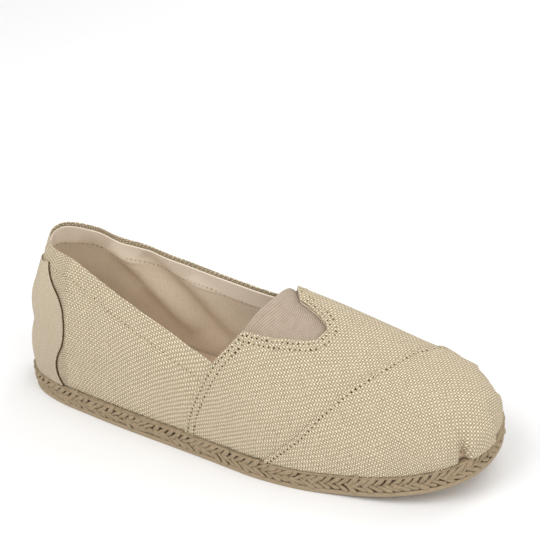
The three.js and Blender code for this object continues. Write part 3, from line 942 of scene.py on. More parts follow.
@dataclass
class HeelCounter:
    """Canvas overlay round the heel, with a dark line along its front edges.

    Outside and inside are heights over the last, and the tops are shares of the girth. Bulges are
    soft ridges and dents round the heel: height over the jute, width and relief.
    """

    last: Last
    outside: float = 1.45 * MM
    inside: float = 0.4 * MM
    top_back: float = 0.36
    top_front: float = 0.503
    cord_radius: float = 0.42 * MM
    cord_lift: float = 0.1 * MM
    cord_sides: int = 8
    stations: int = 46
    levels: int = 48
    front_steps: tuple[float, ...] = (.4, 1.0, 1.8)
    front_fine: float = 0.006
    bulge_reach: float = 0.07
    bulges: tuple[tuple[float, float, float], ...] = (
        (40 * MM, 8 * MM, 1.0 * MM), (27 * MM, 6 * MM, -1.2 * MM),
        (12 * MM, 8 * MM, .7 * MM), (56 * MM, 8 * MM, -.5 * MM),
    )

    def grids(self) -> tuple:
        """Grids of place, side and girth, from the inner front edge round the heel.

        Returns:
            The three grids.
        """
        steps = np.linspace(0, 1, self.stations)
        steps = np.unique(np.concatenate([steps, 1 - np.array(self.front_steps) * self.front_fine]))
        columns = spaced(self.levels, edge_high=True, fine=.01)
        share, side, girth = [], [], []
        for which, order in ((Side.INNER, steps[:0:-1]), (Side.OUTER, steps)):
            for step in order:
                row = columns * (self.top_back + (self.top_front - self.top_back) * step)
                share.append(step ** 2 * self.last.counter_edge(row))
                girth.append(row)
                side.append(np.full(len(row), float(which.value)))
        return np.array(share), np.array(side), np.array(girth)

    def waves(self, last: Last, points: np.ndarray, cloth: Cloth) -> np.ndarray:
        """Relief of the overlay's soft bulges and the dents between them.

        Args:
            last: the form.
            points: points of the overlay.
            cloth: the overlay, for its places.

        Returns:
            The signed distance for each point.
        """
        up = points[..., 2] - last.sole_height
        relief = sum(size * bump(up, middle, width) for middle, width, size in self.bulges)
        return relief * np.exp(-((cloth.share / self.bulge_reach) ** 2))

    def build(self) -> list[bpy.types.Object]:
        """Makes the overlay and the dark cords beside its front edges.

        Returns:
            The overlay and the two cords.
        """
        grids = self.grids()
        edge = tuple(np.concatenate([grid[0], grid[1:, -1], grid[-1, -2::-1]]) for grid in grids)
        overlay = Cloth("heel_overlay", *grids, self.outside, self.inside, edge=edge,
                        fold=.9 * MM, extra=self.waves).build(self.last)
        cords = []
        for name, end in (("inner", 0), ("outer", -1)):
            line = self.last.point(*(grid[end] for grid in grids), self.inside + self.cord_lift)
            cords.append(tube("counter_piping_" + name, line, self.cord_radius, self.cord_sides))
        return [overlay] + cords

    def dress(self, finishes: "Finishes") -> None:
        """Builds the overlay and its cords and gives them their finishes.

        Args:
            finishes: the materials.
        """
        overlay, *cords = self.build()
        dress(overlay, finishes.counter)
        for cord in cords:
            dress(cord, finishes.edge_cord)
        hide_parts("heel_counter")


def tube(name: str, path: np.ndarray, radius: float, sides: int) -> bpy.types.Object:
    """Closed round tube along a line.

    Args:
        name: the piece's name.
        path: the line's points.
        radius: the tube's radius.
        sides: sides of its section.

    Returns:
        The mesh object.
    """
    tangent = np.gradient(path, axis=0)
    tangent /= np.maximum(np.linalg.norm(tangent, axis=1), TINY)[:, None]
    up = np.array([0, 0, 1.0]) + .3 * np.array([1.0, 0, 0])
    across = np.cross(tangent, up)
    across /= np.linalg.norm(across, axis=1)[:, None]
    normal = np.cross(across, tangent)
    angle = np.linspace(0, 2 * math.pi, sides, endpoint=False)
    ring = np.cos(angle)[None, :, None] * across[:, None] + np.sin(angle)[None, :, None] * normal[:, None]
    points = (path[:, None] + radius * ring).reshape(-1, 3)
    faces = []
    for i in range(len(path) - 1):
        for j in range(sides):
            k = (j + 1) % sides
            faces.append((i * sides + j, i * sides + k, (i + 1) * sides + k, (i + 1) * sides + j))
    faces.append(tuple(range(sides))[::-1])
    faces.append(tuple((len(path) - 1) * sides + j for j in range(sides)))
    obj = make_mesh(name, points, faces)
    face_outwards(obj)
    return obj


def face_outwards(obj: bpy.types.Object) -> None:
    """Turns a closed mesh's faces outwards.

    Args:
        obj: a closed mesh object.
    """
    work = bmesh.new()
    work.from_mesh(obj.data)
    bmesh.ops.recalc_face_normals(work, faces=work.faces)
    work.to_mesh(obj.data)
    work.free()


@dataclass
class ElasticGore:
    """Ribbed elastic under the throat's edge.

    Skin is the height of its outside over the last. The cuff is its thicker free edge, with the
    distances between which it fades. Round is the width over which that edge is rounded. Dip is how
    far its middle lies forward of its corners, as a share of the lap.
    """

    last: Last
    skin: float = -2.0 * MM
    thick: float = 1.1 * MM
    lap: float = 8 * MM
    rib_depth: float = 0.11 * MM
    cuff_lift: float = 0.35 * MM
    cuff_fade: tuple[float, float] = (3.2 * MM, 3.8 * MM)
    round: float = 0.6 * MM
    dip: float = 1.2
    dip_lean: float = 0.8
    chart_width: float = 60 * MM
    columns: int = 72
    rows: int = 150

    def build(self) -> bpy.types.Object:
        """Makes the elastic with ribs that follow its free edge.

        Returns:
            The mesh object.
        """
        last = self.last
        lap = self.lap / last.length
        rear = last.throat_corner - lap * .5
        front = last.throat_end + lap
        across = np.linspace(0, 1, self.columns)[:, None]
        rows = np.linspace(0, 1, self.rows)[None]
        start = rear + lap * self.dip * np.sin(math.pi * across ** self.dip_lean)
        share = start + (front - start) * rows
        under = np.minimum(share, last.throat_end - lap)
        low = self.lap / last.instep_height
        inner = 2 - (last.throat_edge(under, Side.INNER) - low)
        outer = last.throat_edge(under, Side.OUTER) - low
        girth = inner + (outer - inner) * across
        side = np.full(share.shape, -1.0)
        reach = (share - start) * last.length
        ribs = self.rib_depth * np.cos(2 * math.pi * reach / ELASTIC_RIB)
        edge = np.sqrt(np.clip(1 - (1 - np.clip(reach / self.round, 0, 1)) ** 2, 0, 1))
        cuff = self.cuff_lift * (1 - smooth(reach, *self.cuff_fade))
        middle = self.skin - self.thick / 2
        out = last.point(share, side, girth, middle + (self.thick / 2 + cuff + ribs) * edge)
        under = last.point(share, side, girth, middle - self.thick / 2 * edge)
        width = across * self.chart_width * np.ones_like(reach)
        chart = np.stack([reach, width], axis=-1).reshape(-1, 2)
        points = np.concatenate([out.reshape(-1, 3), under.reshape(-1, 3)])
        return make_mesh("gore_ribbed", points, sheet_faces(*share.shape), np.vstack([chart, chart]))

    def dress(self, finishes: "Finishes") -> None:
        """Builds the elastic and gives it its finish.

        Args:
            finishes: the materials.
        """
        gore = self.build()
        dress(gore, finishes.elastic)
        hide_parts("elastic_gore")


@dataclass
class Slab:
    """A flat layer of the sole with a profiled side, from rows of outwards growth and height."""

    name: str
    profile: tuple[tuple[float, float], ...]
    stations: int = 150
    inner_rings: tuple[float, ...] = (.985, .9, .6, .3)
    dish: float = 0.0

    def build(self, last: Last) -> bpy.types.Object:
        """Makes the closed slab, with rings of faces over its top and bottom.

        Args:
            last: the form that gives the outline and the toe spring.

        Returns:
            The mesh object.
        """
        turn = np.linspace(0, math.pi, self.stations + 1)
        share = (1 - np.cos(turn)) / 2
        share = np.concatenate([share, share[-2:0:-1]])
        side = np.concatenate([-np.ones(self.stations + 1), np.ones(self.stations - 1)])
        grow = np.array([row[0] for row in self.profile])
        height = np.array([row[1] for row in self.profile])
        x, y = last.outline(share[:, None], side[:, None], grow[None])
        spine = np.clip(share, last.heel_pole, last.toe_pole)
        middle = (last.half[Side.INNER](turn_of(spine)) - last.half[Side.OUTER](turn_of(spine))) / 2
        cx, cy = spine * last.length, middle * last.ball_width
        rings = [(x[:, j], y[:, j], height[j] * np.ones(len(x))) for j in range(len(grow))]
        for end in (0, -1):
            for part in self.inner_rings + (0.0,):
                px = cx + (x[:, end] - cx) * part
                py = cy + (y[:, end] - cy) * part
                level = height[end] - (self.dish * (1 - part ** 2) if end else 0)
                ring = (px, py, level * np.ones(len(px)))
                rings = rings + [ring] if end else [ring] + rings
        points = np.stack([np.stack([px, py, z + last.spring(px)], axis=-1) for px, py, z in rings], 1)
        total, levels = points.shape[:2]
        run = np.concatenate([[0], np.cumsum(np.linalg.norm(
            np.diff(points[:, len(self.inner_rings) + 1, :2], axis=0), axis=1))])
        chart = np.stack([np.repeat(run[:, None], levels, 1), points[:, :, 2]], axis=-1)
        faces = []
        for i in range(total):
            for j in range(levels - 1):
                k = (i + 1) % total
                faces.append((i * levels + j, k * levels + j, k * levels + j + 1, i * levels + j + 1))
        return make_mesh(self.name, points.reshape(-1, 3) + last.origin, faces, chart.reshape(-1, 2))


class CopyRun:
    """Copies of one small item set at even steps along a path, made by Geometry Nodes."""

    SOCKETS = (
        ("Item", "NodeSocketObject"), ("Pitch", "NodeSocketFloat"), ("Shift", "NodeSocketFloat"),
        ("Size Spread", "NodeSocketFloat"), ("Turn Spread", "NodeSocketFloat"),
        ("Seed", "NodeSocketInt"), ("Finish", "NodeSocketMaterial"),
    )

    def __init__(self) -> None:
        """Builds the node tree once."""
        self.tree = bpy.data.node_groups.new("copies_along_path", "GeometryNodeTree")
        interface = self.tree.interface
        interface.new_socket("Geometry", in_out="INPUT", socket_type="NodeSocketGeometry")
        self.sockets = {name: interface.new_socket(name, in_out="INPUT", socket_type=kind).identifier
                        for name, kind in self.SOCKETS}
        interface.new_socket("Geometry", in_out="OUTPUT", socket_type="NodeSocketGeometry")
        self.wire()

    def wire(self) -> None:
        """Adds the nodes and their links."""
        nodes, links = self.tree.nodes, self.tree.links

        def node(kind: str, **values: object) -> bpy.types.Node:
            """Adds a node and sets its options."""
            made = nodes.new(kind)
            for key, value in values.items():
                setattr(made, key, value)
            return made

        given = node("NodeGroupInput")
        result = node("NodeGroupOutput")
        to_curve = node("GeometryNodeMeshToCurve")
        trim = node("GeometryNodeTrimCurve", mode="LENGTH")
        resample = node("GeometryNodeResampleCurve", mode="LENGTH")
        up = node("GeometryNodeInputNamedAttribute", data_type="FLOAT_VECTOR")
        up.inputs["Name"].default_value = "up"
        tangent = node("GeometryNodeInputTangent")
        axes = node("FunctionNodeAxesToRotation", primary_axis="Z", secondary_axis="X")
        item = node("GeometryNodeObjectInfo")
        place = node("GeometryNodeInstanceOnPoints")
        size = node("FunctionNodeRandomValue", data_type="FLOAT")
        low = node("ShaderNodeMath", operation="SUBTRACT")
        high = node("ShaderNodeMath", operation="ADD")
        low.inputs[0].default_value = 1.0
        high.inputs[0].default_value = 1.0
        spin = node("FunctionNodeRandomValue", data_type="FLOAT_VECTOR")
        negative = node("ShaderNodeMath", operation="MULTIPLY")
        negative.inputs[1].default_value = -1.0
        rotate = node("GeometryNodeRotateInstances")
        realize = node("GeometryNodeRealizeInstances")
        finish = node("GeometryNodeSetMaterial")
        random_low = next(s for s in size.inputs if s.name == "Min" and s.type == "VALUE")
        random_high = next(s for s in size.inputs if s.name == "Max" and s.type == "VALUE")
        spin_low = next(s for s in spin.inputs if s.name == "Min" and s.type == "VECTOR")
        spin_high = next(s for s in spin.inputs if s.name == "Max" and s.type == "VECTOR")
        size_out = next(s for s in size.outputs if s.type == "VALUE" and s.enabled)
        spin_out = next(s for s in spin.outputs if s.type == "VECTOR")
        up_out = next(s for s in up.outputs if s.type == "VECTOR")
        start = next(s for s in trim.inputs if s.name == "Start" and s.enabled)
        end = next(s for s in trim.inputs if s.name == "End" and s.enabled)
        end.default_value = PATH_END
        for source, target in (
            (given.outputs["Geometry"], to_curve.inputs["Mesh"]),
            (to_curve.outputs["Curve"], trim.inputs["Curve"]),
            (given.outputs["Shift"], start),
            (trim.outputs["Curve"], resample.inputs["Curve"]),
            (given.outputs["Pitch"], resample.inputs["Length"]),
            (resample.outputs["Curve"], place.inputs["Points"]),
            (given.outputs["Item"], item.inputs["Object"]),
            (item.outputs["Geometry"], place.inputs["Instance"]),
            (up_out, axes.inputs["Primary Axis"]),
            (tangent.outputs["Tangent"], axes.inputs["Secondary Axis"]),
            (axes.outputs["Rotation"], place.inputs["Rotation"]),
            (given.outputs["Size Spread"], low.inputs[1]),
            (given.outputs["Size Spread"], high.inputs[1]),
            (low.outputs[0], random_low),
            (high.outputs[0], random_high),
            (given.outputs["Seed"], size.inputs["Seed"]),
            (size_out, place.inputs["Scale"]),
            (given.outputs["Turn Spread"], negative.inputs[0]),
            (negative.outputs[0], spin_low),
            (given.outputs["Turn Spread"], spin_high),
            (given.outputs["Seed"], spin.inputs["Seed"]),
            (place.outputs["Instances"], rotate.inputs["Instances"]),
            (spin_out, rotate.inputs["Rotation"]),
            (rotate.outputs["Instances"], realize.inputs["Geometry"]),
            (realize.outputs["Geometry"], finish.inputs["Geometry"]),
            (given.outputs["Finish"], finish.inputs["Material"]),
            (finish.outputs["Geometry"], result.inputs["Geometry"]),
        ):
            links.new(source, target)

    def lay(self, name: str, paths: list[tuple[np.ndarray, np.ndarray]], item: bpy.types.Object,
            pitch: float, finish: bpy.types.Material, shift: float = 0.0, size_spread: float = 0.0,
            turn_spread: float = 0.0, seed: int = 1) -> bpy.types.Object:
        """Lays the copies and returns them as one plain mesh.

        Args:
            name: the piece's name.
            paths: points and upward directions of each path.
            item: the small object that is copied.
            pitch: the step between copies.
            finish: the copies' material.
            shift: how far along the path the first copy lies.
            size_spread: random part of the size.
            turn_spread: random turn, in radians.
            seed: fixes what is random.

        Returns:
            The mesh object.
        """
        mesh = bpy.data.meshes.new(name + "_path")
        points, ups, edges = [], [], []
        for path, up in paths:
            first = len(points)
            points += path.tolist()
            ups += up.tolist()
            edges += [(first + k, first + k + 1) for k in range(len(path) - 1)]
        mesh.from_pydata(points, edges, [])
        layer = mesh.attributes.new("up", "FLOAT_VECTOR", "POINT")
        layer.data.foreach_set("vector", np.array(ups, np.float32).ravel())
        carrier = link(bpy.data.objects.new(name + "_path", mesh))
        modifier = carrier.modifiers.new("copies", "NODES")
        modifier.node_group = self.tree
        values = {"Item": item, "Pitch": pitch, "Shift": shift, "Size Spread": size_spread,
                  "Turn Spread": turn_spread, "Seed": seed, "Finish": finish}
        for key, value in values.items():
            modifier[self.sockets[key]] = value
        graph = bpy.context.evaluated_depsgraph_get()
        made = bpy.data.meshes.new_from_object(carrier.evaluated_get(graph), depsgraph=graph)
        carrier.modifiers.clear()
        bpy.data.objects.remove(carrier)
        made.name = name
        made.materials.clear()
        made.materials.append(finish)
        made.polygons.foreach_set("material_index", np.zeros(len(made.polygons), np.int32))
        obj = link(bpy.data.objects.new(name, made))
        for polygon in made.polygons:
            polygon.use_smooth = True
        return obj


@dataclass(frozen=True)
class Rod:
    """Small rounded rod along X that is copied along paths.

    Flat is its height as a share of its width, and around and rings are the points round it and
    along it. Twist is the turn of its plies from end to end and slant its turn about Z, both in
    radians. Lobes is the depth of the grooves between the plies as a share of the radius, and bend
    the rise of its middle. Blunt sets how full its ends are.
    """

    name: str
    length: float
    radius: float
    flat: float = 1.0
    around: int = 8
    rings: int = 7
    twist: float = 0.0
    lobes: float = 0.0
    plies: int = 3
    slant: float = 0.0
    bend: float = 0.0
    blunt: float = 3.2

    def build(self) -> bpy.types.Object:
        """Makes the rod.

        Returns:
            The mesh object.
        """
        around, rings = self.around, self.rings
        t = np.linspace(-1, 1, rings)
        along = np.sin(t * QUARTER_TURN) * self.length / 2
        shape = 1 - np.abs(along / (self.length / 2)) ** self.blunt
        size = self.radius * np.sqrt(np.clip(shape, 0.0, 1))
        angle = np.linspace(0, 2 * math.pi, around, endpoint=False)
        points, chart = [], []
        for k in range(rings):
            turned = angle + self.twist * t[k] / 2
            ply = 1 - self.lobes * (0.5 + 0.5 * np.cos(self.plies * turned))
            y = size[k] * ply * np.cos(angle)
            z = size[k] * ply * np.sin(angle) * self.flat + self.bend * (1 - t[k] ** 2)
            x = np.full(around, along[k])
            points.append(np.stack([x * math.cos(self.slant) - y * math.sin(self.slant),
                                    x * math.sin(self.slant) + y * math.cos(self.slant), z], axis=-1))
            chart.append(np.stack([x, self.radius * turned], axis=-1))
        faces = [(k * around + j, k * around + (j + 1) % around, (k + 1) * around + (j + 1) % around,
                  (k + 1) * around + j) for k in range(rings - 1) for j in range(around)]
        obj = make_mesh(self.name, np.concatenate(points), faces, np.concatenate(chart))
        face_outwards(obj)
        return obj


@dataclass
class Stitching:
    """Rows of thread and the small holes that the needle left, drawn as flat dark discs whose colour is
    painted shade in the holes.

    Lift is how far a stitch lies over the cloth, and reach how far from it the cloth is sought. The
    two shares are the length of a thread by the pitch and of a hole by its radius. The collar's
    rows are sewn with finer thread, and the quarters' row ends some path points inside the edge's ends.
    """

    last: Last
    copies: CopyRun
    pitch: float = 2.5 * MM
    thread_radius: float = 0.3 * MM
    thread_share: float = 0.72
    thread_flat: float = 0.7
    hole_radius: float = 0.46 * MM
    hole_share: float = 2.1
    hole_flat: float = 0.35
    rings: int = 6
    lift: float = 0.06 * MM
    reach: float = 4 * MM
    path_step: float = 0.8 * MM
    evening: int = 3
    collar_size: float = 0.7
    collar_trim: int = 14

    def row(self, panel: bpy.types.Object, places: tuple, grow: float,
            inset: float, trim: int = 0) -> tuple[np.ndarray, np.ndarray]:
        """Path at an even distance from an edge, on a panel's surface.

        Args:
            panel: the panel that is sewn.
            places: places of its edge on the last.
            grow: height of the sewn face over the last, negative for a face that looks inwards.
            inset: distance from the edge.
            trim: number of path points left out at each end.

        Returns:
            The path's points and the surface's directions there.
        """
        tree = BVHTree.FromPolygons([v.co for v in panel.data.vertices],
                                    [tuple(p.vertices) for p in panel.data.polygons])
        line = self.last.point(*places, grow)
        away = self.last.point(*places, grow + math.copysign(MM, grow)) - line
        edge = even_path(line, self.path_step)
        near = np.argmin(np.linalg.norm(edge[:, None] - line[None], axis=2), axis=1)
        away = away[near] / np.linalg.norm(away[near], axis=1)[:, None]
        tangent = np.gradient(edge, axis=0)
        way = np.cross(away, tangent)
        way /= np.linalg.norm(way, axis=1)[:, None]
        tries = []
        for hand in (1, -1):
            found = [tree.find_nearest(Vector(p)) for p in edge + way * inset * hand]
            tries.append((sum(hit[3] for hit in found), found))
        found = min(tries, key=lambda item: item[0])[1]
        points, ups = [], []
        for near_hit, out in zip(found, map(Vector, away)):
            onto = tree.ray_cast(near_hit[0] + out * self.reach, -out, 2 * self.reach)
            spot, normal = (near_hit if onto[0] is None else onto)[:2]
            normal = normal if normal.dot(out) > 0 else -normal
            points.append(np.array(spot + normal * self.lift))
            ups.append(np.array(normal))
        points, ups = np.array(points), np.array(ups)
        for _ in range(self.evening):
            points[1:-1] = (points[:-2] + 2 * points[1:-1] + points[2:]) / 4
        keep = slice(trim, len(points) - trim)
        return points[keep], ups[keep]

    def sew(self, name: str, rows: list, thread: bpy.types.Material, hole_shade: bpy.types.Material,
            size: float = 1.0) -> list[bpy.types.Object]:
        """Lays the threads and holes of some rows.

        Args:
            name: start of the two pieces' names.
            rows: paths and directions.
            thread: the thread's material.
            hole_shade: the holes' material, whose dark colour is painted shade.
            size: factor on the widths of threads and holes.

        Returns:
            The two mesh objects.
        """
        width, reach = self.thread_radius * size, self.hole_radius * size
        stitch = Rod("stitch_item", self.pitch * self.thread_share, width, self.thread_flat,
                     rings=self.rings).build()
        # The holes are flat dark discs laid on the cloth, coloured as painted shade.
        dot = Rod("hole_item", reach * self.hole_share, reach, self.hole_flat,
                  rings=self.rings).build()
        made = [
            self.copies.lay(name + "_threads", rows, stitch, self.pitch, thread,
                            size_spread=.08, turn_spread=.05, seed=3),
            self.copies.lay(name + "_holes", rows, dot, self.pitch, hole_shade, shift=self.pitch / 2,
                            size_spread=.25, turn_spread=.1, seed=5),
        ]
        bpy.data.objects.remove(stitch)
        bpy.data.objects.remove(dot)
        return made

    def dress(self, upper: Upper, finishes: "Finishes") -> None:
        """Sews the upper's panels and gives threads and holes their finishes.

        Args:
            upper: the upper, after its panels are built.
            finishes: the materials.
        """
        panels = upper.panels
        rows = [self.row(panels["vamp"], upper.vamp_edge, upper.vamp_sewn, inset)
                for inset in upper.vamp_rows]
        rows.append(self.row(panels["toe"], upper.toe_edge, upper.toe_sewn, upper.toe_row))
        fine_rows = [
            self.row(panels["quarters"], upper.collar_edge, upper.quarter_sewn, upper.collar_row,
                     self.collar_trim),
            self.row(panels["lining"], upper.collar_edge, upper.lining_sewn, upper.facing_row),
        ]
        for name, group, size in (("panel", rows, 1.0), ("collar", fine_rows, self.collar_size)):
            threads, holes = self.sew(name, group, finishes.thread, finishes.hole_shade, size)
            dress(threads, finishes.thread)
            dress(holes, finishes.hole_shade)


@dataclass(frozen=True)
class StrandRow:
    """One row of the braid: its height as a share of the side, and its strands' slant and shape."""

    up: float
    slant: float
    length: float
    flat: float = 0.8


@dataclass
class JuteSole:
    """Braided jute sole: a core dark with painted shade, a plain wrapped edge and two rows of slanted
    strands.

    Growths are measured outwards from the sole's outline. The wrapped edge is a share of the side's
    height, and bulges by an arc between two angles in radians.
    """

    last: Last
    copies: CopyRun
    bottom: float = 2.7 * MM
    wrap_share: float = 0.19
    wrap_grow: float = -1.3 * MM
    wrap_bulge: float = 1.0 * MM
    wrap_arc: tuple[float, float] = (-1.35, 1.5)
    wrap_steps: int = 12
    wrap_inner: tuple[float, float] = (-2.4 * MM, -3.2 * MM)
    wrap_drop: float = 0.05 * MM
    wrap_stations: int = 420
    strand_pitch: float = 4.3 * MM
    strand_radius: float = 1.36 * MM
    strand_around: int = 18
    strand_rings: int = 17
    strand_twist: float = 3.4
    strand_lobes: float = 0.3
    strand_bend: float = 0.12 * MM
    strand_grow: float = -1.05 * MM
    row_shift: float = 0.4
    size_spread: float = 0.17
    turn_spread: float = 0.2
    first_seed: int = 11
    rows: tuple[StrandRow, ...] = (StrandRow(.66, .62, 9.4 * MM), StrandRow(.25, -.48, 8.8 * MM))
    path_stations: int = 300

    def ring(self, grow: float, height: float) -> tuple[np.ndarray, np.ndarray]:
        """Closed path round the sole at one height, with outward directions.

        Args:
            grow: growth from the sole's outline.
            height: height at the heel.

        Returns:
            The path's points and the directions outwards there.
        """
        count = self.path_stations
        turn = np.linspace(0, math.pi, count)
        share = (1 - np.cos(turn)) / 2
        share = np.concatenate([share, share[-2::-1]])
        side = np.concatenate([-np.ones(count), np.ones(count - 1)])
        x, y = self.last.outline(share, side, grow)
        far_x, far_y = self.last.outline(share, side, grow + MM)
        path = np.stack([x, y, height + self.last.spring(x)], axis=-1) + self.last.origin
        out = np.stack([far_x - x, far_y - y, np.zeros(len(x))], axis=-1) / MM
        return path, out

    def build_core(self) -> bpy.types.Object:
        """Makes the core behind the strands, whose dark colour is painted shade in the gaps between them.

        Returns:
            The mesh object.
        """
        bottom, top = self.bottom, self.last.sole_height
        profile = ((-1.5 * MM, bottom), (-1.1 * MM, bottom + .3 * MM),
                   (-1.3 * MM, bottom + (top - bottom) * .5), (-1.4 * MM, top - .8 * MM),
                   (-2.0 * MM, top - .2 * MM))
        return Slab("jute_core", profile).build(self.last)

    def build_wrap(self) -> bpy.types.Object:
        """Makes the plain wrapped edge at the top of the side.

        Returns:
            The mesh object.
        """
        top = self.last.sole_height
        height = (top - self.bottom) * self.wrap_share
        low_grow, top_grow = self.wrap_inner
        profile = [(low_grow, top - height)]
        for a in np.linspace(*self.wrap_arc, self.wrap_steps):
            profile.append((self.wrap_grow + self.wrap_bulge * math.cos(a),
                            top - height / 2 + height / 2 * math.sin(a)))
        profile.append((top_grow, top - self.wrap_drop))
        return Slab("jute_wrap", tuple(profile), stations=self.wrap_stations,
                    inner_rings=(.985, .9)).build(self.last)

    def build_braid(self, finish: bpy.types.Material) -> list[bpy.types.Object]:
        """Makes the rows of strands.

        Args:
            finish: the strands' material.

        Returns:
            One mesh object for each row.
        """
        tall = self.last.sole_height - self.bottom
        made = []
        for k, row in enumerate(self.rows):
            strand = Rod("strand_item", row.length, self.strand_radius, row.flat,
                         self.strand_around, self.strand_rings, self.strand_twist,
                         self.strand_lobes, slant=row.slant, bend=self.strand_bend).build()
            path = self.ring(self.strand_grow, self.bottom + tall * row.up)
            made.append(self.copies.lay(
                f"braid_row_{k + 1}", [path], strand, self.strand_pitch, finish,
                shift=k * self.strand_pitch * self.row_shift, size_spread=self.size_spread,
                turn_spread=self.turn_spread, seed=self.first_seed + k))
            bpy.data.objects.remove(strand)
        return made

    def dress(self, finishes: "Finishes") -> None:
        """Builds the core, the wrapped edge and the braid and gives them their finishes.

        Args:
            finishes: the materials.
        """
        core = self.build_core()
        wrap = self.build_wrap()
        strands = self.build_braid(finishes.jute)
        dress(core, finishes.core)
        dress(wrap, finishes.wrap)
        for row in strands:
            dress(row, finishes.jute)
        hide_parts("jute_sole")


@dataclass
class Outsole:
    """Thin rubber sheet under the jute, with the growth and height of its side from the floor up."""

    last: Last
    profile: tuple[tuple[float, float], ...] = (
        (-1.0 * MM, 0.0), (-.6 * MM, .12 * MM), (-.5 * MM, .5 * MM), (-.5 * MM, 2.0 * MM),
        (-.65 * MM, 2.4 * MM),
    )

    def dress(self, finishes: "Finishes") -> None:
        """Builds the sheet and gives it its rubber.

        Args:
            finishes: the materials.
        """
        outsole = Slab("outsole_sheet", self.profile).build(self.last)
        dress(outsole, finishes.rubber)
        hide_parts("outsole")


@dataclass
class Insole:
    """Padded sock inside the upper, with the growth and height of its side from its foot up."""

    last: Last
    wall: float = 1.6 * MM
    play: float = 0.5 * MM
    dish: float = 0.6 * MM
    profile: tuple[tuple[float, float], ...] = (
        (0.0, 0.0), (.2 * MM, 1.4 * MM), (0.0, 2.5 * MM), (-.8 * MM, 3.1 * MM),
    )

    def dress(self, finishes: "Finishes") -> None:
        """Builds the sock and gives it its cotton.

        Args:
            finishes: the materials.
        """
        inset = -(self.last.ledge + self.wall + self.play)
        low = self.last.sole_height + self.last.gap
        profile = tuple((inset + grow, low + height) for grow, height in self.profile)
        insole = Slab("insole_sock", profile, dish=self.dish).build(self.last)
        dress(insole, finishes.insole)
        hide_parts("insole")


class Shader:
    """Small helper that adds nodes to a new material."""

    def __init__(self, name: str) -> None:
        """Makes the material with its principled shader.

        Args:
            name: the material's name.
        """
        self.material = bpy.data.materials.new(name)
        self.material.use_nodes = True
        self.nodes = self.material.node_tree.nodes
        self.links = self.material.node_tree.links
        self.base = self.nodes["Principled BSDF"]

    def node(self, kind: str, inputs: dict | None = None, **options: object) -> bpy.types.Node:
        """Adds a node.

        Args:
            kind: the node's type.
            inputs: values or sockets for its inputs, by name or number.
            options: values for its options.

        Returns:
            The node.
        """
        made = self.nodes.new(kind)
        for key, value in options.items():
            setattr(made, key, value)
        for key, value in (inputs or {}).items():
            if isinstance(value, bpy.types.NodeSocket):
                self.links.new(value, made.inputs[key])
            else:
                made.inputs[key].default_value = value
        return made

    def math(self, operation: str, *values: object) -> bpy.types.NodeSocket:
        """Adds a math node and returns its result."""
        made = self.node("ShaderNodeMath", dict(enumerate(values)), operation=operation)
        return made.outputs[0]

    def noise(self, vector: bpy.types.NodeSocket, scale: float, detail: float = 3.0,
              rough: float = .55) -> bpy.types.NodeSocket:
        """Adds noise of a scale per metre and returns its value.

        Args:
            vector: the coordinates.
            scale: the scale per metre.
            detail: the number of octaves.
            rough: the share of each octave.

        Returns:
            The noise's value.
        """
        made = self.node("ShaderNodeTexNoise", {"Vector": vector, "Scale": scale, "Detail": detail,
                                                "Roughness": rough})
        return made.outputs["Fac"]

    def mix(self, share: object, low: object, high: object) -> bpy.types.NodeSocket:
        """Mixes two colours and returns the result.

        Args:
            share: how much of the second colour shows.
            low: the first colour.
            high: the second colour.

        Returns:
            The mixed colour.
        """
        made = self.node("ShaderNodeMix", data_type="RGBA")
        for socket, value in zip((made.inputs[0], made.inputs[6], made.inputs[7]), (share, low, high)):
            if isinstance(value, bpy.types.NodeSocket):
                self.links.new(value, socket)
            else:
                socket.default_value = value
        return made.outputs[2]

    def bump(self, height: bpy.types.NodeSocket, distance: float, strength: float = 1.0,
             below: bpy.types.NodeSocket | None = None) -> bpy.types.NodeSocket:
        """Adds a bump and returns its normal.

        Args:
            height: the relief, from 0 to 1.
            distance: its depth in metres.
            strength: its strength.
            below: the normal of the relief under it.

        Returns:
            The new normal.
        """
        inputs = {"Height": height, "Distance": distance, "Strength": strength}
        if below is not None:
            inputs["Normal"] = below
        return self.node("ShaderNodeBump", inputs).outputs["Normal"]

    def finish(self, color: object, rough: float, normal: object, sheen: float = 0.0) -> bpy.types.Material:
        """Sets the shader's sockets and returns the material.

        Args:
            color: a colour or a socket.
            rough: the roughness.
            normal: a normal socket.
            sheen: the weight of the sheen.

        Returns:
            The material.
        """
        for key, value in (("Base Color", color), ("Normal", normal)):
            if isinstance(value, bpy.types.NodeSocket):
                self.links.new(value, self.base.inputs[key])
            elif value is not None:
                self.base.inputs[key].default_value = value
        self.base.inputs["Roughness"].default_value = rough
        self.base.inputs["Specular IOR Level"].default_value = .25
        self.base.inputs["Sheen Weight"].default_value = sheen
        self.base.inputs["Sheen Roughness"].default_value = .6
        return self.material


def rgb(red: float, green: float, blue: float) -> tuple:
    """Display colour from 0 to 255 as a linear colour.

    Args:
        red: the red channel.
        green: the green channel.
        blue: the blue channel.

    Returns:
        Four linear channels, with an alpha of 1.
    """
    def linear(c: float) -> float:
        """One channel."""
        c /= 255
        return c / 12.92 if c <= .04045 else ((c + .055) / 1.055) ** 2.4
    return (linear(red), linear(green), linear(blue), 1.0)


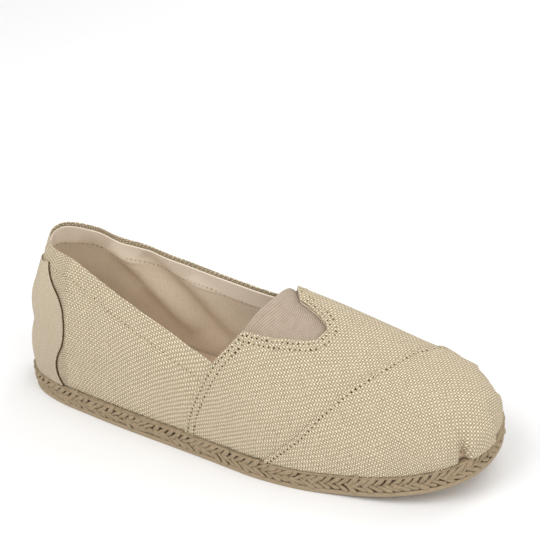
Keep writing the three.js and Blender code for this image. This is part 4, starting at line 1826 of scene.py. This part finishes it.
@dataclass(frozen=True)
class WovenFinish:
    """Plain-weave cloth whose threads follow the piece's cloth coordinates."""

    name: str
    light: tuple
    mean: tuple
    dark: tuple
    pitch: float
    depth: float
    turn: float = 0.0
    slub: float = 1.0
    sheen: float = 0.0
    ground: float = .45
    haze: float = .35
    # Lighter colour on the facing: the turned facing's own tone plus a painted highlight of light from above.
    band: tuple | None = None
    facing_and_highlight_share: float = .8
    thread_round: float = .75
    wobble_scale: float = 90.0
    slub_scale: float = 900.0
    cloud_scale: float = 22.0
    knot_scale: float = 420.0
    fuzz_scale: float = 2600.0
    dent_scale: float = 60.0

    def material(self) -> bpy.types.Material:
        """Builds the material.

        Returns:
            The material.
        """
        s = Shader(self.name)
        uv = s.node("ShaderNodeUVMap", uv_map="cloth").outputs["UV"]
        solid = s.node("ShaderNodeTexCoord").outputs["Object"]
        turned = s.node("ShaderNodeMapping", {"Vector": uv, "Rotation": (0, 0, self.turn)}).outputs[0]
        wobble = s.node("ShaderNodeTexNoise", {"Vector": turned, "Scale": self.wobble_scale,
                                                  "Detail": 2.0})
        offset = s.node("ShaderNodeVectorMath", {0: wobble.outputs["Color"], 1: (.5, .5, .5)},
                        operation="SUBTRACT").outputs[0]
        offset = s.node("ShaderNodeVectorMath", {0: offset, "Scale": self.pitch * 1.3 * self.slub},
                        operation="SCALE").outputs[0]
        moved = s.node("ShaderNodeVectorMath", {0: turned, 1: offset}, operation="ADD").outputs[0]
        split = s.node("ShaderNodeSeparateXYZ", {0: moved})
        wave = math.pi / self.pitch
        su = s.math("SINE", s.math("MULTIPLY", split.outputs[0], wave))
        sv = s.math("SINE", s.math("MULTIPLY", split.outputs[1], wave))
        cross = s.math("MULTIPLY", su, sv)
        over = s.math("POWER", s.math("MAXIMUM", cross, 0.0), self.thread_round)
        below = s.math("MULTIPLY", cross, -1.0)
        under = s.math("POWER", s.math("MAXIMUM", below, 0.0), self.thread_round)
        height = s.math("MULTIPLY_ADD", under, self.ground, over)
        slubs = s.noise(solid, self.slub_scale, 2.0)
        cloud = s.noise(solid, self.cloud_scale, 3.0)
        knots = s.noise(turned, self.knot_scale, 3.0, .7)
        # The colour is lighter on the raised threads and darker in the hollows under them, which is painted
        # shade on the weave's relief; slubs, clouds and knots are the cloth's own tone.
        level = s.math("MULTIPLY_ADD", slubs, .5, s.math("MULTIPLY", height, 1.25))
        tone = s.mix(s.math("SUBTRACT", level, .12), self.dark, self.light)
        patch = s.math("MULTIPLY_ADD", cloud, .5, s.math("MULTIPLY", knots, .35))
        color = s.mix(s.math("MULTIPLY", patch, self.haze), tone, self.mean)
        # The facing gets a lighter colour: partly its own tone, partly a painted highlight.
        if self.band is not None:
            facing = s.node("ShaderNodeAttribute", attribute_name="band").outputs["Fac"]
            color = s.mix(s.math("MULTIPLY", facing, self.facing_and_highlight_share), color, self.band)
        fine = s.bump(s.noise(solid, self.fuzz_scale, 2.0), .12 * MM, .5)
        normal = s.bump(height, self.depth, 1.0, fine)
        soft = s.bump(s.noise(solid, self.dent_scale, 2.0), .5 * MM, .35, normal)
        return s.finish(color, .92, soft, self.sheen)


@dataclass(frozen=True)
class FibreFinish:
    """Dry plant fibre with streaks along the strand."""

    name: str
    light: tuple
    mean: tuple
    dark: tuple
    stretch: tuple[float, float, float] = (260.0, 2600.0, 1.0)
    depth: float = .25 * MM
    speck_scale: float = 1400.0
    patch_scale: float = 70.0

    def material(self) -> bpy.types.Material:
        """Builds the material.

        Returns:
            The material.
        """
        s = Shader(self.name)
        uv = s.node("ShaderNodeUVMap", uv_map="cloth").outputs["UV"]
        solid = s.node("ShaderNodeTexCoord").outputs["Object"]
        long = s.node("ShaderNodeMapping", {"Vector": uv, "Scale": self.stretch}).outputs[0]
        streak = s.noise(long, 1.0, 4.0, .65)
        speck = s.noise(solid, self.speck_scale, 3.0, .7)
        patch = s.noise(solid, self.patch_scale, 3.0)
        share = s.math("MULTIPLY_ADD", streak, 1.5, s.math("MULTIPLY", speck, .7))
        tone = s.mix(s.math("SUBTRACT", share, .6), self.dark, self.light)
        color = s.mix(s.math("MULTIPLY", patch, .7), tone, self.mean)
        normal = s.bump(s.math("ADD", streak, s.math("MULTIPLY", speck, .5)), self.depth, .9)
        return s.finish(color, .95, normal, .05)


@dataclass(frozen=True)
class PlainFinish:
    """Even matt finish with fine grain, for rubber, thread, the dark edge cords and needle holes."""

    name: str
    light: tuple
    dark: tuple
    rough: float = .8
    grain: float = 900.0
    depth: float = .08 * MM
    sheen: float = 0.0
    patch_scale: float = 45.0

    def material(self) -> bpy.types.Material:
        """Builds the material.

        Returns:
            The material.
        """
        s = Shader(self.name)
        solid = s.node("ShaderNodeTexCoord").outputs["Object"]
        grain = s.noise(solid, self.grain, 3.0)
        patch = s.noise(solid, self.patch_scale, 2.0)
        color = s.mix(s.math("MULTIPLY_ADD", grain, .5, s.math("MULTIPLY", patch, .5)), self.dark, self.light)
        return s.finish(color, self.rough, s.bump(grain, self.depth, .7), self.sheen)


@dataclass(frozen=True)
class RibbedFinish:
    """Elastic webbing: ribs along the free edge and fine cross threads."""

    name: str = "ribbed_elastic"
    light: tuple = rgb(205, 188, 169)
    dark: tuple = rgb(133, 113, 94)
    cross_thread: float = .6 * MM
    depth: float = .12 * MM
    grain_scale: float = 300.0

    def material(self) -> bpy.types.Material:
        """Builds the material.

        Returns:
            The material.
        """
        s = Shader(self.name)
        uv = s.node("ShaderNodeUVMap", uv_map="cloth").outputs["UV"]
        solid = s.node("ShaderNodeTexCoord").outputs["Object"]
        split = s.node("ShaderNodeSeparateXYZ", {0: uv})
        rib = s.math("COSINE", s.math("MULTIPLY", split.outputs[0], 2 * math.pi / ELASTIC_RIB))
        turns = 2 * math.pi / self.cross_thread
        thread = s.math("SINE", s.math("MULTIPLY", split.outputs[1], turns))
        height = s.math("MULTIPLY_ADD", thread, .2, s.math("MULTIPLY", rib, .3))
        height = s.math("ADD", height, .5)
        grain = s.noise(solid, self.grain_scale)
        # Colour lighter on the rib crests and darker in the troughs, which is painted shade on the rib
        # relief; the grain is the elastic's own tone.
        tone = s.math("MULTIPLY_ADD", grain, .35, s.math("MULTIPLY", height, .6))
        color = s.mix(tone, self.dark, self.light)
        return s.finish(color, .85, s.bump(height, self.depth, .8), .15)


class Finishes:
    """All the materials of the shoe."""

    def __init__(self) -> None:
        """Builds each one once."""
        canvas = WovenFinish("canvas", rgb(250, 236, 206), rgb(207, 187, 154), rgb(102, 80, 49),
                             1.18 * MM, .5 * MM, math.radians(8), .85, ground=.4, haze=.25)
        self.canvas = canvas.material()
        self.quarter = replace(canvas, name="quarter_canvas", pitch=1.34 * MM).material()
        self.counter = WovenFinish("counter_canvas", rgb(240, 226, 201), rgb(208, 194, 169),
                                   rgb(150, 130, 102), .95 * MM, .3 * MM, math.radians(4)).material()
        # The lining's facing is lighter: partly its own tone, partly a painted highlight of light from above.
        self.lining = WovenFinish("cotton_lining", rgb(246, 232, 211), rgb(229, 212, 189),
                                  rgb(184, 162, 134), .55 * MM, .1 * MM, math.radians(45), .6,
                                  .1, band=rgb(255, 243, 225)).material()
        self.insole = WovenFinish("insole_cotton", rgb(226, 202, 178), rgb(208, 184, 158),
                                  rgb(176, 150, 124), .55 * MM, .08 * MM, math.radians(45), .6,
                                  .1).material()
        self.elastic = RibbedFinish().material()
        self.jute = FibreFinish("jute_strand", rgb(204, 183, 151), rgb(166, 146, 117),
                                rgb(80, 62, 40)).material()
        self.wrap = FibreFinish("jute_wrap", rgb(190, 170, 140), rgb(158, 139, 111), rgb(86, 68, 46),
                                (180.0, 1800.0, 1.0), .4 * MM).material()
        # Core behind the strands: its dark colour is painted shade in the gaps of the braid.
        self.core = FibreFinish("jute_core", rgb(104, 84, 58), rgb(78, 60, 40), rgb(40, 30, 18)).material()
        self.rubber = PlainFinish("tan_rubber", rgb(178, 159, 132), rgb(146, 128, 101), .7).material()
        self.thread = PlainFinish("thread", rgb(222, 206, 176), rgb(176, 156, 124), .9, 2500.0,
                                  .05 * MM, .1).material()
        # Needle holes: dark discs whose colour is painted shade in the holes.
        self.hole_shade = PlainFinish("needle_hole", rgb(90, 70, 46), rgb(54, 40, 26), 1.0).material()
        # Dark brown cords along the heel overlay's front edges.
        self.edge_cord = PlainFinish("dark_piping", rgb(96, 72, 42), rgb(56, 42, 24), .9).material()


@dataclass(frozen=True)
class SoftLight:
    """A square area light that shines on the origin."""

    name: str
    place: tuple[float, float, float]
    power: float
    size: float


@dataclass
class Studio:
    """Pale floor, soft lights and the camera at the photograph's angle.

    The camera's values were solved from the shoe's outline in the photograph, whose frame is
    frame_pixels wide. The aim is measured from a point over the middle of the sole.
    """

    last: Last
    azimuth: float = math.radians(32.911)
    elevation: float = math.radians(33.077)
    roll: float = math.radians(4.663)
    distance: float = 0.900
    focal_pixels: float = 1795.2
    frame_pixels: int = 540
    middle_height: float = .030
    aim_right: float = 14.194 * MM
    aim_up: float = 48.258 * MM
    sensor: float = 36.0
    near: float = .01
    soft_lights: tuple[SoftLight, ...] = (
        SoftLight("key", (-.35, -.75, 1.05), 8.5, .9),
        SoftLight("fill", (.9, -.3, .8), 5.5, 1.0),
        SoftLight("back", (.2, .9, .9), 5.0, .9),
    )
    surroundings: float = .56
    floor_half: float = 3.0

    def camera(self) -> bpy.types.Object:
        """Makes the camera.

        Returns:
            The camera object.
        """
        a, e = self.azimuth, self.elevation
        back = Vector((math.sin(a) * math.cos(e), -math.cos(a) * math.cos(e), math.sin(e)))
        right = Vector((math.cos(a), math.sin(a), 0))
        up = back.cross(right)
        middle = Vector((self.last.length / 2, 0, self.middle_height)) + Vector(self.last.origin)
        place = middle + back * self.distance
        aim = middle + right * self.aim_right + up * self.aim_up
        forward = (aim - place).normalized()
        data = bpy.data.cameras.new("camera")
        data.sensor_width = self.sensor
        data.lens = self.focal_pixels / self.frame_pixels * self.sensor
        data.clip_start = self.near
        camera = link(bpy.data.objects.new("camera", data))
        level = forward.to_track_quat("-Z", "Y").to_matrix().to_4x4()
        rolled = Matrix.Rotation(-self.roll, 4, Vector((0, 0, 1)))
        camera.matrix_world = Matrix.Translation(place) @ level @ rolled
        bpy.context.scene.camera = camera
        return camera

    def lights(self) -> None:
        """Makes the soft lights and the pale surroundings."""
        for soft in self.soft_lights:
            data = bpy.data.lights.new(soft.name, "AREA")
            data.energy = soft.power
            data.size = soft.size
            light = link(bpy.data.objects.new(soft.name, data))
            light.location = soft.place
            light.rotation_euler = (-Vector(soft.place)).to_track_quat("-Z", "Y").to_euler()
        world = bpy.data.worlds.new("studio")
        world.use_nodes = True
        background = world.node_tree.nodes["Background"]
        background.inputs[0].default_value = (1, 1, 1, 1)
        background.inputs[1].default_value = self.surroundings
        bpy.context.scene.world = world
        bpy.context.scene.view_settings.view_transform = "Standard"

    def floor(self) -> None:
        """Makes the pale floor."""
        half = self.floor_half
        corners = np.array([(-half, -half, 0), (half, -half, 0), (half, half, 0), (-half, half, 0)])
        obj = make_mesh("floor", corners, [(0, 1, 2, 3)])
        obj.data.materials.append(PlainFinish("pale_floor", (.93, .93, .93, 1), (.91, .91, .91, 1), .9,
                                              40.0, .0).material())


def dress(obj: bpy.types.Object, finish: bpy.types.Material) -> None:
    """Gives a piece its finish, rides it on the shoe and reports it.

    Args:
        obj: the piece.
        finish: its material.
    """
    obj.data.materials.clear()
    obj.data.materials.append(finish)
    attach(obj, "root")
    LOG.info("%s: %d faces", obj.name, len(obj.data.polygons))


def main() -> None:
    """Builds the shoe from the upper to the sole, then its stitches, and the studio round it."""
    logging.basicConfig(level=logging.INFO, format="%(message)s")
    last = Last()
    studio = Studio(last)
    studio.camera()
    finishes = Finishes()
    copies = CopyRun()
    upper = Upper(last)
    upper.dress(finishes)
    HeelCounter(last).dress(finishes)
    ElasticGore(last).dress(finishes)
    JuteSole(last, copies).dress(finishes)
    Outsole(last).dress(finishes)
    Insole(last).dress(finishes)
    Stitching(last, copies).dress(upper, finishes)
    studio.lights()
    studio.floor()


if __name__ == "__main__":
    main()
